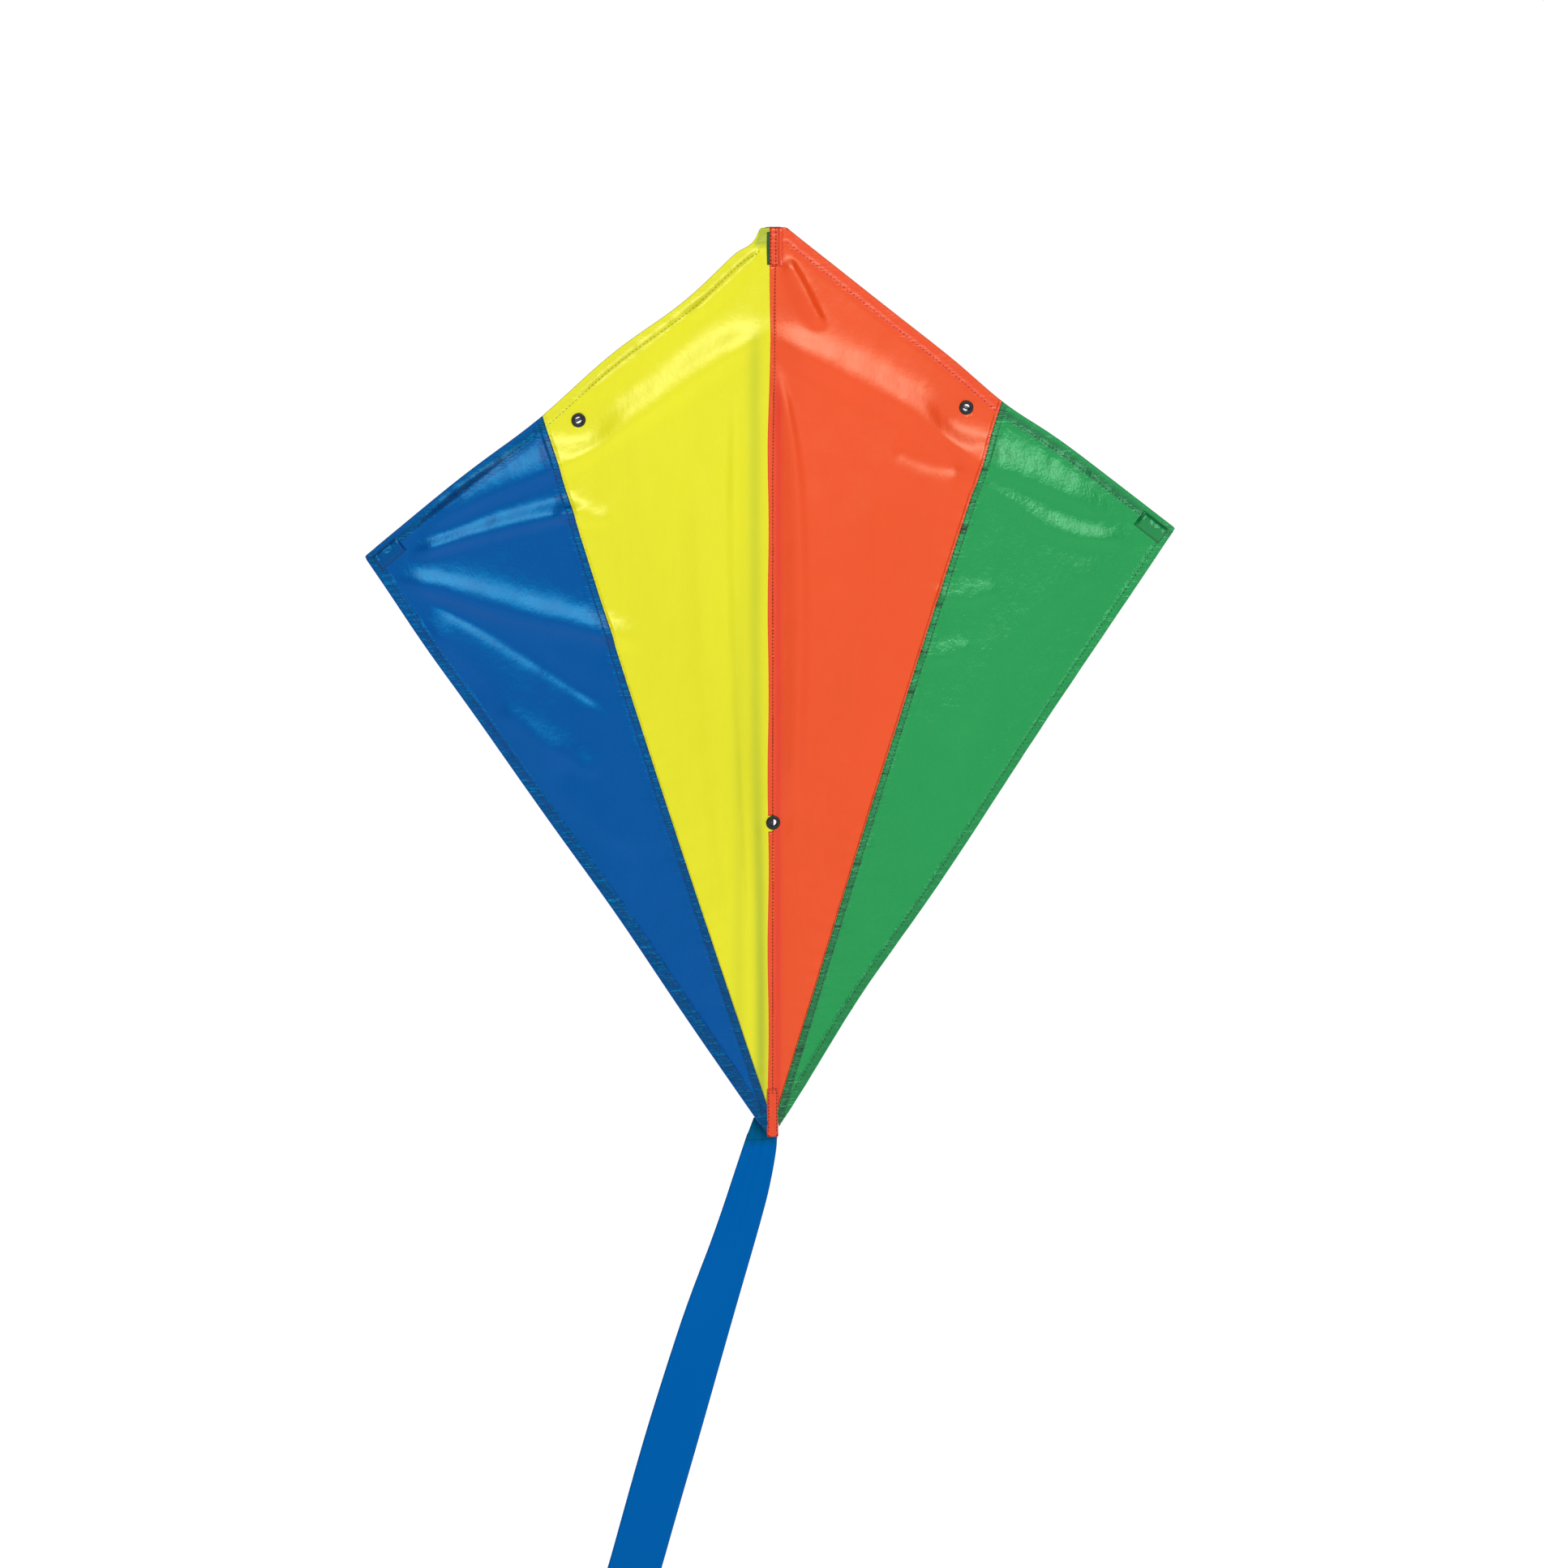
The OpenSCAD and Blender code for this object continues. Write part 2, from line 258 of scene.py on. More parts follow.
class Tree:
    """One material's node tree, with a Principled shader whose sockets are set by name."""

    def __init__(self, name, **shader):
        self.material = bpy.data.materials.new(name)
        self.material.use_nodes = True
        self.nodes = self.material.node_tree.nodes
        self.links = self.material.node_tree.links
        self.shader = self.nodes["Principled BSDF"]
        for socket, value in shader.items():
            self.set(socket.replace("_", " "), value)

    def set(self, socket, value):
        self._feed(self.shader.inputs[socket], value)

    def _feed(self, socket, value):
        if isinstance(value, Value):
            value = value.socket
        if isinstance(value, bpy.types.NodeSocket):
            self.links.new(value, socket)
        else:
            socket.default_value = value

    def node(self, kind, settings=None, inputs=None, output=0):
        """Adds a node: its settings first, then the values or links of its sockets."""
        made = self.nodes.new(kind)
        for name, value in (settings or {}).items():
            setattr(made, name, value)
        for name, value in (inputs or {}).items():
            self._feed(made.inputs[name], value)
        return Value(self, made.outputs[output])

    def place(self, scale=(1, 1, 1), turn=(0, 0, 0)):
        """Object coordinates, scaled and turned."""
        where = self.node("ShaderNodeTexCoord", output="Object")
        return self.node("ShaderNodeMapping", {}, {"Vector": where, "Scale": scale, "Rotation": turn})

    def noise(self, place, scale, detail=2.0, rough=0.5):
        inputs = {"Vector": place, "Scale": scale, "Detail": detail, "Roughness": rough}
        return self.node("ShaderNodeTexNoise", {}, inputs)

    def marked(self, name):
        """A number that the mesh keeps for each point."""
        return self.node("ShaderNodeAttribute", {"attribute_name": name}, output="Fac")

    def clamped(self, value):
        """The value, held between 0 and 1."""
        return self.node("ShaderNodeMath", {"operation": "ADD", "use_clamp": True}, {0: value, 1: 0.0})

    def mix(self, share, first, second):
        """Mixes two colours."""
        made = self.nodes.new("ShaderNodeMix")
        made.data_type = "RGBA"
        self._feed(made.inputs["Factor"], share)
        for socket, value in ((6, first), (7, second)):
            self._feed(made.inputs[socket], (*value, 1) if isinstance(value, tuple) else value)
        return Value(self, made.outputs[2])

    def bump(self, height, distance, strength=1.0, under=None):
        inputs = {"Height": height, "Distance": distance, "Strength": strength}
        if under is not None:
            inputs["Normal"] = under
        return self.node("ShaderNodeBump", {}, inputs)

    def parts(self, vector):
        """The x, y and z of a vector, as three numbers."""
        split = self.nodes.new("ShaderNodeSeparateXYZ")
        self._feed(split.inputs[0], vector)
        return [Value(self, out) for out in split.outputs]


# ---------------------------------------------------------------- materials

# Each cloth's colour where it lies double or is painted in shade, the tint of its shine,
# how crinkled it is, and if its seam gets painted crease shade.
SHADES = {
    "blue": ((0.0, 0.008, 0.080), (0.0, 0.62, 1.0), 1.0),
    "yellow": ((0.27, 0.35, 0.012), (1.0, 0.93, 0.36), 0.7),
    "orange": ((0.60, 0.016, 0.008), (1.0, 0.62, 0.38), 0.55),
    "green": ((0.0, 0.048, 0.016), (0.34, 1.0, 0.55), 2.0, True),
}
THREADS = {
    "blue": (0.004, 0.003, 0.02),
    "yellow": (0.22, 0.21, 0.010),
    "orange": (0.12, 0.006, 0.004),
    "green": (0.0, 0.010, 0.005),
}
GLASS = (0.035, 0.04, 0.05)
NYLON_STEP = 0.42 * MM  # from yarn to yarn of the sail cloth
RIB_STEP, RIBBON_STEP = 0.5 * MM, 0.4 * MM  # from rib to rib of the ribbon, and from yarn to yarn
RIBBON_SLANT = math.radians(16.5)  # how far the free ribbon leans from upright
HEAD_DROP = 312 * MM  # the ribbon is folded double down to this depth below the origin; above it its colour is painted darker as shade


def tint(colour, share):
    """A colour made lighter (share above 1) or darker."""
    return tuple(min(1.0, c * share) for c in colour)


def sail_cloth(name, colour, shade_colour, sheen_tint, crinkled, shaded_creases=False):
    """Coated nylon: fine plain weave, cloudy streaks, crinkles and a wet sheen; deeper where it is double and
    where shade is painted.
    """
    tree = Tree(name, Coat_Roughness=0.25, Specular_IOR_Level=0.75, Specular_Tint=(*sheen_tint, 1))
    broad = tree.noise(tree.place((9, 1, 3)), 1.0, 3.0, 0.55)
    fine = tree.noise(tree.place((160, 1, 45)), 1.0, 2.0, 0.6)
    shade = tree.mix(broad, tint(colour, 0.9), tint(colour, 1.08))
    shade = tree.mix(fine * 0.3, shade, tint(colour, 0.84))
    # the shade colour comes in where the cloth lies double, and as painted shade beside the spine, the seams
    # and the hems
    layers, gathered = tree.marked("layers"), tree.marked("gathered")
    creases = tree.noise(tree.place((40, 1, 330), (0, 0.25, 0)), 1.0, 2.5, 0.6)
    # the crease noise also paints crease shade into the colour where the sewing gathers the cloth
    shade = tree.mix(tree.clamped(layers + gathered * (creases - 0.5) * 1.6), shade, shade_colour)
    if shaded_creases:
        # painted shade of narrow creases across the seam band, unevenly spaced down it
        band = tree.marked("band")
        _, _, height = tree.parts(tree.place())
        wander = tree.noise(tree.place((0, 0, 9)), 1.0, 2.0)
        crease_shade = ((height * 150 + wander * 44).sine() * 0.5 + 0.5) ** 40 * band
        shade = tree.mix(crease_shade, shade, tint(shade_colour, 0.12))
    tree.set("Base Color", shade)
    tree.set("Roughness", 0.28 + 0.12 * tree.noise(tree.place((40, 1, 40)), 1.0, 2.0))
    tree.set("Coat Weight", 0.06 + 0.08 * broad)
    x, _, z = tree.parts(tree.place())
    weave = (x * (math.pi / NYLON_STEP)).sine() * (z * (math.pi / NYLON_STEP)).sine()
    wide = tree.noise(tree.place((55, 1, 30), (0, 0.5, 0)), 1.0, 4.0, 0.62)
    sharp = tree.noise(tree.place((130, 1, 190), (0, -0.6, 0)), 1.0, 3.0, 0.65)
    soft = tree.bump(wide, 1.5 * crinkled * MM, 0.6)
    soft = tree.bump(sharp, 0.40 * crinkled * MM, 0.6, under=soft)
    soft = tree.bump(creases * gathered, 1.5 * MM, 0.9, under=soft)
    tree.set("Normal", tree.bump(weave, 0.02 * MM, 0.4, under=soft))
    return tree.material


def ribbon_cloth(name, colour):
    """Matt woven ribbon: fine cross ribs, hardly any sheen."""
    tree = Tree(name, Roughness=0.62, Specular_IOR_Level=0.2, Specular_Tint=(0.0, 0.5, 1.0, 1))
    broad = tree.noise(tree.place((6, 1, 3)), 1.0, 2.0)
    shade = tree.mix(broad, tint(colour, 0.96), tint(colour, 1.05))
    # painted shade: darker teal at the top, where the ribbon lies double under the tail
    _, _, height = tree.parts(tree.place())
    doubled_and_shaded = tree.clamped((height + HEAD_DROP) * 130)
    tree.set("Base Color", tree.mix(doubled_and_shaded * 0.8, shade, (0.0, 0.07, 0.15)))
    x, _, z = tree.parts(tree.place(turn=(0, -RIBBON_SLANT, 0)))
    ribs = (z * (math.pi / RIB_STEP)).sine() * (x * (math.pi / RIBBON_STEP)).sine()
    tree.set("Normal", tree.bump(ribs, 0.03 * MM, 0.5))
    return tree.material


def thread(name, colour):
    """Spun polyester thread with its twist."""
    tree = Tree(name, Roughness=0.55, Specular_IOR_Level=0.35)
    twist = tree.noise(tree.place((900, 900, 900)), 1.0, 2.0)
    tree.set("Base Color", tree.mix(twist, tint(colour, 0.7), tint(colour, 1.3)))
    return tree.material


def moulded(name, colour, rough, grain, coat=0.0):
    """Moulded plastic or vinyl with a fine grain and slightly uneven gloss."""
    tree = Tree(name, Coat_Roughness=0.1, Specular_IOR_Level=0.3)
    patchy = tree.noise(tree.place((120, 120, 120)), 1.0, 3.0)
    tree.set("Base Color", tree.mix(patchy, colour, tint(colour, 1.5)))
    tree.set("Roughness", rough - 0.06 + 0.12 * patchy)
    tree.set("Coat Weight", coat + 0.05 * patchy)
    tree.set("Normal", tree.bump(tree.noise(tree.place((1500, 1500, 1500)), 1.0, 2.0), grain, 0.3))
    return tree.material


def rod_glass(name, colour):
    """Pultruded glass-fibre rod: fine streaks along it under a thin resin skin."""
    tree = Tree(name, Coat_Roughness=0.15, Specular_IOR_Level=0.5)
    streaks = tree.noise(tree.place((700, 700, 12)), 1.0, 3.0, 0.6)
    tree.set("Base Color", tree.mix(streaks, tint(colour, 0.75), tint(colour, 1.35)))
    tree.set("Roughness", 0.3 + 0.15 * streaks)
    tree.set("Coat Weight", 0.2 + 0.1 * streaks)
    tree.set("Normal", tree.bump(streaks, 0.05 * MM, 0.3))
    return tree.material


def cloth_material(name):
    colours = bpy.context.scene.kite_sail
    made = bpy.data.materials.get(f"nylon_{name}")
    return made or sail_cloth(f"nylon_{name}", tuple(getattr(colours, name)), *SHADES[name])


def slit_shade_cloth():
    """Dark cloth laid on the face at the pocket's mouth: painted shade of the slit."""
    tree = Tree("pocket_lining", Roughness=0.75, Specular_IOR_Level=0.2)
    patchy = tree.noise(tree.place((260, 1, 160)), 1.0, 2.0)
    tree.set("Base Color", tree.mix(patchy, (0.0, 0.022, 0.010), (0.03, 0.13, 0.03)))
    return tree.material


def thread_material(name):
    return bpy.data.materials.get(f"sewing_{name}") or thread(f"sewing_{name}", THREADS[name])


# ---------------------------------------------------------------- the sail's shape

SEAM_LEAN = 0.95  # distance across a panel seam as a share of the level distance
# Each eyelet's place on a half of the sail, and how far beyond its flange the cloth rises to full height.
FLAT_ROUND = ((Plan.eyelet, 34 * MM), ((0, 0), 14 * MM))


def smooth(t):
    t = np.clip(t, 0, 1)
    return t * t * (3 - 2 * t)


def bell(distance, width):
    return np.exp(-((distance / width) ** 2))


def within(distance, width, soft):
    """1 on a band of this width along an edge, fading to 0 over soft mm beyond it."""
    return smooth(1 - (distance - width) / (soft * MM))


def lead_inset(x, side):
    """How far the leading edge is pulled in below the straight line from the nose to the tip."""
    share = np.clip((x - Plan.nose[0]) / (Plan.tip[0] - Plan.nose[0]), 0, 1)
    if side == LEFT:
        broad = 9.3 * bell(share - 0.19, 0.14) * smooth(share / 0.02) + 6.4 * bell(share - 0.56, 0.14)
        return (broad + 5.5 * bell(x - 20 * MM, 10 * MM) * smooth(share / 0.008)) * MM
    return (2.0 * bell(share - 0.35, 0.25) + 5.5 * bell(share - 0.56, 0.1)) * MM * smooth(share / 0.05)


def lead_z(x, side):
    """Height of the leading edge at a distance x from the centre line."""
    slope = Plan.nose[1] - (x - Plan.nose[0]) * Plan.lead_slope
    return np.where(x < Plan.nose[0], Plan.nose[1], slope) - lead_inset(x, side)


def seam_point(t, side):
    """The panel seam, from the leading edge at 0 to its end near the tail at 1."""
    top = np.array([Plan.seam_top[0], float(lead_z(Plan.seam_top[0], side))])
    end = np.array([3.0 * MM, Plan.seam_end[1]])
    point = top + (end - top) * t[..., None]
    point[..., 0] += {LEFT: 3.0, RIGHT: -3.0}[side] * MM * np.sin(math.pi * t)
    return point


def trail_point(t, side):
    """The trailing edge, from the tip at 0 to the tail corner at 1."""
    if side == RIGHT:
        end = np.array([5.5 * MM, Plan.tail[1]])
        inset = (6.5 * bell(t - 0.80, 0.14) + 2.0 * bell(t - 0.3, 0.2)) * MM
    else:
        end = np.array([7.0 * MM, Plan.tail[1] - 5 * MM])
        inset = (-2.5 * bell(t - 0.14, 0.09) + 2.5 * bell(t - 0.62, 0.14)) * MM
    point = Plan.tip + (end - Plan.tip) * t[..., None]
    point[..., 0] -= inset * np.sin(math.pi * np.clip(t, 0, 1)) ** 0.5
    return point


def lead_distance(x, z, side):
    return (lead_z(x, side) - z) * math.cos(Plan.lead_angle)


def trail_distance(x, z, side):
    """Distance inside the trailing edge, level with the point."""
    t = np.clip((Plan.tip[1] - z) / (Plan.tip[1] - Plan.tail[1]), 0, 1)
    return (trail_point(t, side)[..., 0] - x) * math.sin(math.atan(Plan.tail_slope))


def seam_distance(x, z, side):
    """Distance outside the panel seam (negative on the inner panel)."""
    t = np.clip((Plan.seam_top[1] - z) / (Plan.seam_top[1] - Plan.seam_end[1]), 0, 1)
    return (x - seam_point(t, side)[..., 0]) * SEAM_LEAN


def edge_distances(x, z, side):
    """Distances from the leading edge, the trailing edge and the panel seam."""
    return lead_distance(x, z, side), trail_distance(x, z, side), seam_distance(x, z, side)


def noise_at(x, z, scale_x, scale_z, seed):
    """Smooth noise from about -1 to 1 over the sail."""
    flat_x, flat_z = np.ravel(x) * scale_x, np.ravel(z) * scale_z
    values = [noise.noise(Vector((a, b, seed))) for a, b in zip(flat_x, flat_z)]
    return np.array(values).reshape(np.shape(x))


def eased(corners, rounds=3):
    """A path through corners with its bends cut smooth, ends kept."""
    path = np.array(corners, float)
    for _ in range(rounds):
        near, far = 0.75 * path[:-1] + 0.25 * path[1:], 0.25 * path[:-1] + 0.75 * path[1:]
        path = np.concatenate([path[:1], np.stack([near, far], 1).reshape(-1, 2), path[-1:]])
    return path


def along_curve(x, z, path):
    """Distance of points from a path, the nearest place along it (0 to 1), and the distance beside it."""
    lengths = np.hypot(*np.diff(path, axis=0).T)
    best = np.full(np.shape(x), 1e9)
    place = np.zeros(np.shape(x))
    beside = np.zeros(np.shape(x))
    done = 0.0
    for first, run, length in zip(path, np.diff(path, axis=0), lengths):
        across, up = x - first[0], z - first[1]
        share = np.clip((across * run[0] + up * run[1]) / max(length, 1e-9) ** 2, 0, 1)
        off = np.hypot(across - share * run[0], up - share * run[1])
        nearer = off < best
        best = np.where(nearer, off, best)
        place = np.where(nearer, (done + share * length) / lengths.sum(), place)
        beside = np.where(nearer, (run[1] * across - run[0] * up) / length, beside)
        done += length
    return best, place, beside


# Folds of each half: points of the crest in mm (x outwards, z up), its width and height in mm.
# A positive height stands out of the face, and a negative one is a valley.
FOLDS = {
    LEFT: [
        (
            ((343, 276), (294, 309), (235, 332), (201, 344), (159, 366))
            + ((120, 392), (65, 430), (3, 462), (-20, 470)),
            13,
            5.2,
        ),
        (((343, 262), (300, 275), (262, 285), (202, 297), (165, 303)), 8, 4.4),
        (((358, 246), (294, 223), (231, 204), (167, 188), (120, 172)), 11, 5.6),
        (((335, 206), (286, 167), (240, 120), (195, 50)), 17, 3.6),
        (((290, 140), (230, 70), (170, 10), (120, -30)), 13, 2.4),
        (((262, 120), (215, 82), (160, 50)), 8, 2.0),
        (((340, 236), (280, 200), (205, 150), (150, 110)), 9, -2.2),
        (((60, 500), (100, 462), (150, 425), (200, 388)), 9, 2.6),
        (((12, 540), (26, 522), (50, 500), (80, 476)), 6, 2.8),
        (((36, 430), (37, 300), (36, 200), (30, 60), (20, -120)), 6, 2.2),
        (((70, 340), (68, 200), (56, 40), (36, -120)), 13, 1.8),
        (((208, 300), (180, 292), (150, 292)), 7, 1.8),
    ],
    RIGHT: [
        (
            ((335, 268), (312, 282), (284, 297), (247, 315), (203, 331), (190, 335))
            + ((154, 366), (120, 391), (65, 419), (35, 436), (2, 455), (-20, 466)),
            13,
            5.2,
        ),
        (((340, 256), (302, 256), (258, 269), (228, 294), (195, 313), (165, 325)), 9, 3.8),
        (((-8, 448), (1, 430), (9, 400), (15, 368), (20, 330), (24, 250), (24, 150), (18, 0)), 8, 3.6),
        (((11, 530), (24, 506), (36, 481), (48, 462)), 6, 3.6),
        (((325, 240), (260, 200), (205, 140), (165, 60)), 16, 2.2),
        (((180, 330), (150, 332), (110, 350)), 10, -1.8),
        (((215, 215), (190, 205), (150, 207)), 8, 2.0),
        (((185, 165), (165, 150), (135, 150)), 8, 1.8),
        (((300, 190), (240, 90), (180, -10)), 14, 1.6),
        (((90, 330), (84, 200), (66, 40)), 13, 1.3),
    ],
}


def relief(x, z, side, share):
    """Height of the face's cloth towards the front, in metres, at a distance x from the centre line."""
    settings = bpy.context.scene.kite_sail
    lead, trail, seam = edge_distances(x, z, side)
    edge = np.minimum(lead, trail)
    # the cloth stands out a little on each side of the spine
    height = 2.6 * (1 - bell(x, 17 * MM)) * smooth(edge / (90 * MM))
    for crest, width, tall in FOLDS[side]:
        off, place, above = along_curve(x, z, eased(np.array(crest) * MM))
        taper = smooth(place / 0.16) * smooth((1 - place) / 0.16)
        spread = width * MM * (0.95 + 0.22 * noise_at(x, z, 9, 9, tall))
        spread = spread * (0.8 + 0.4 * np.sin(math.pi * place))
        # the cloth falls off gently above the crest and steeply below it
        spread = spread * (1.1 + 0.3 * np.tanh(above / (4 * MM)))
        height += tall * taper * bell(off, spread) * smooth(edge / (14 * MM))
    # unevenness, broad and then fine
    height += 1.1 * noise_at(x, z, 14, 9, 3.1 * side) * smooth(edge / (50 * MM))
    height += 0.30 * noise_at(x, z, 60, 34, 7.7 * side) * smooth(edge / (15 * MM))
    # puckers that run off the seams and hems
    pucker = noise_at(z * 0, z + 0.35 * x, 1, 95, 11.3 * side)
    height += 0.85 * pucker * np.exp(-np.abs(seam) / (13 * MM))
    ripple = noise_at(x - z * 0.6, z * 0, 85, 1, 5.9 * side)
    height += 0.8 * ripple * np.exp(-np.maximum(lead, 0) / (16 * MM)) * smooth(lead / (6 * MM))
    ripple = noise_at(z, z * 0, 70, 1, 2.3 * side)
    height += 0.6 * ripple * np.exp(-np.maximum(trail, 0) / (12 * MM))
    height *= share
    # folded cloth: hems and the felled band outside each seam
    height += 0.22 * within(lead, settings.lead_hem, 1.2)
    height += 0.4 * within(trail, settings.trail_hem, 1.2)
    band = smooth((seam + 0.6 * MM) / (0.6 * MM)) * within(seam, settings.seam_band, 1.0)
    height += 0.45 * band
    # the cloth lies flat under the eyelets
    for spot, reach in FLAT_ROUND:
        away = np.hypot(x - spot[0], z - spot[1])
        height *= smooth((away - Plan.eyelet_r) / reach)
    return height * MM


def sail_y(x, z, side):
    """Depth of a half's face at a distance x from the centre line."""
    return -relief(x, z, side, bpy.context.scene.kite_sail.fold_share)


def face_y(x, z):
    """Depth of the sail's face at any x."""
    x, z = np.asarray(x, float), np.asarray(z, float)
    return np.where(x < 0, sail_y(np.abs(x), z, LEFT), sail_y(np.abs(x), z, RIGHT))


# ---------------------------------------------------------------- mesh helpers


def link_mesh(name, vertices, faces, material):
    """A new object at the origin with this mesh, smooth shaded."""
    mesh = bpy.data.meshes.new(name)
    mesh.from_pydata([tuple(map(float, v)) for v in vertices], [], faces)
    mesh.validate()
    mesh.update()
    mesh.polygons.foreach_set("use_smooth", [True] * len(mesh.polygons))
    piece = bpy.data.objects.new(name, mesh)
    bpy.context.scene.collection.objects.link(piece)
    mesh.materials.append(material)
    return piece


def grid_faces(rows, columns, wrap=False, flip=False):
    """Faces of a grid whose points run row by row."""
    faces = []
    last = columns if wrap else columns - 1
    for i in range(rows - 1):
        for j in range(last):
            right, row = (j + 1) % columns, i * columns
            face = (row + j, row + right, row + columns + right, row + columns + j)
            faces.append(face[::-1] if flip else face)
    return faces


def thicken(piece, thickness, offset=-1.0):
    """Gives a sheet its wall, to the back of its faces when offset is -1."""
    wall = piece.modifiers.new("wall", "SOLIDIFY")
    wall.thickness, wall.offset, wall.use_even_offset = thickness, offset, False
    bake(piece)


def bake(piece):
    """Turns the evaluated piece into a plain mesh, so that no modifier is left on it."""
    bpy.context.view_layer.update()
    graph = bpy.context.evaluated_depsgraph_get()
    mesh = bpy.data.meshes.new_from_object(piece.evaluated_get(graph))
    old = piece.data
    piece.modifiers.clear()
    piece.data = mesh
    mesh.name = piece.name
    bpy.data.meshes.remove(old)


def outwards(piece):
    """Points every face of a closed piece outwards."""
    shell = bmesh.new()
    shell.from_mesh(piece.data)
    bmesh.ops.recalc_face_normals(shell, faces=shell.faces)
    shell.to_mesh(piece.data)
    shell.free()


def mark(piece, name, values):
    """Keeps a number for each point of the piece's mesh (or one number for all), for its material."""
    kept = piece.data.attributes.new(name, "FLOAT", "POINT")
    spread = np.broadcast_to(np.ravel(values), len(piece.data.vertices))
    kept.data.foreach_set("value", spread.astype(np.float32))


def make_cloth(name, points, material, thickness, offset=-1.0, faces=None, **marks):
    """A closed piece of cloth over a grid of points, with marks on it for its material."""
    faces = faces or grid_faces(*points.shape[:2])
    piece = link_mesh(name, points.reshape(-1, 3), faces, material)
    for kind, values in marks.items():
        mark(piece, kind, values)
    thicken(piece, thickness, offset)
    outwards(piece)
    return piece


def settle(piece, body, node):
    """Fixes a piece to a body, in the place of a node, which it hides."""
    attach(piece, body)
    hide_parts(node)


def hinge_blend(piece, side):
    """Bakes the transform of a piece of one half of the sail into its mesh."""
    start = side * Plan.strip
    side * BEND_END
    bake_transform(piece)


def spaced(length, fine, coarse, fine_zone, end_zone):
    """Rising shares from 0 to 1 of a length, with fine steps near both ends."""
    marks = [*np.arange(0, fine_zone, fine), *np.arange(fine_zone, length - end_zone, coarse)]
    marks += [*np.arange(length - end_zone, length, fine), length]
    return np.array(marks) / length


# ---------------------------------------------------------------- sail panels

PANELS = {
    "panel_yellow": (LEFT, "inner", "yellow"),
    "panel_blue": (LEFT, "outer", "blue"),
    "panel_orange": (RIGHT, "inner", "orange"),
    "panel_green": (RIGHT, "outer", "green"),
}

PANEL_LENGTH = 0.75  # nearly the length of a panel, to set the steps of its points

# The cloth's hole round an eyelet's barrel, how far from it the cloth's points are moved aside for it,
# and within what distance of its middle faces are taken out first.
HOLE_R, HOLE_REACH, HOLE_CUT = 5.4 * MM, 9.5 * MM, 2.4 * MM


def panel_grid(side, kind):
    """A panel's points (x outwards, z): rows from the leading edge down, columns from the centre out."""
    t = spaced(PANEL_LENGTH, 1.1 * MM, 3.1 * MM, 21 * MM, 10 * MM)
    if kind == "inner":
        u = spaced(Plan.seam_top[0], 1.3 * MM, 2.9 * MM, 22 * MM, 12 * MM)
        inner = np.stack([0 * t, Plan.nose[1] + (Plan.seam_end[1] - 8 * MM - Plan.nose[1]) * t], -1)
        outer = seam_point(t, side)
    else:
        u = spaced(Plan.tip[0] - Plan.seam_top[0], 0.9 * MM, 2.6 * MM, 12 * MM, 14 * MM)
        inner, outer = seam_point(t, side), trail_point(t, side)
    points = inner[:, None] + (outer - inner)[:, None] * u[None, :, None]
    x_top = inner[0][0] + (outer[0][0] - inner[0][0]) * u
    top = np.stack([x_top, lead_z(x_top, side)], -1)
    if kind == "outer":
        top[-1] = Plan.tip
    return points + (1 - t)[:, None, None] * (top - points[0])[None]


def turned(corners, top, end):
    """The corners turned so that the line from top to end stands upright."""
    down = (np.array(end) - top) / np.linalg.norm(np.array(end) - top)
    across = np.array([-down[1], down[0]])
    return [(corner @ across, corner @ down) for corner in corners]


def open_hole(points, faces, spot):
    """Opens a round hole in a grid of cloth: its middle faces go, and the points round it move out."""
    flat = points.reshape(-1, 2)
    middles = np.array([flat[list(face)].mean(axis=0) for face in faces])
    near = np.hypot(*(middles - spot).T) < HOLE_CUT
    kept = [face for face, gone in zip(faces, near) if not gone]
    away = flat - spot
    r = np.maximum(np.hypot(*away.T), 0.05 * MM)
    inside = r < HOLE_REACH
    grown = np.sqrt(HOLE_R**2 + r**2 * (1 - HOLE_R**2 / HOLE_REACH**2))
    flat[inside] = (np.array(spot) + away * (grown / r)[:, None])[inside]
    return flat.reshape(points.shape), kept


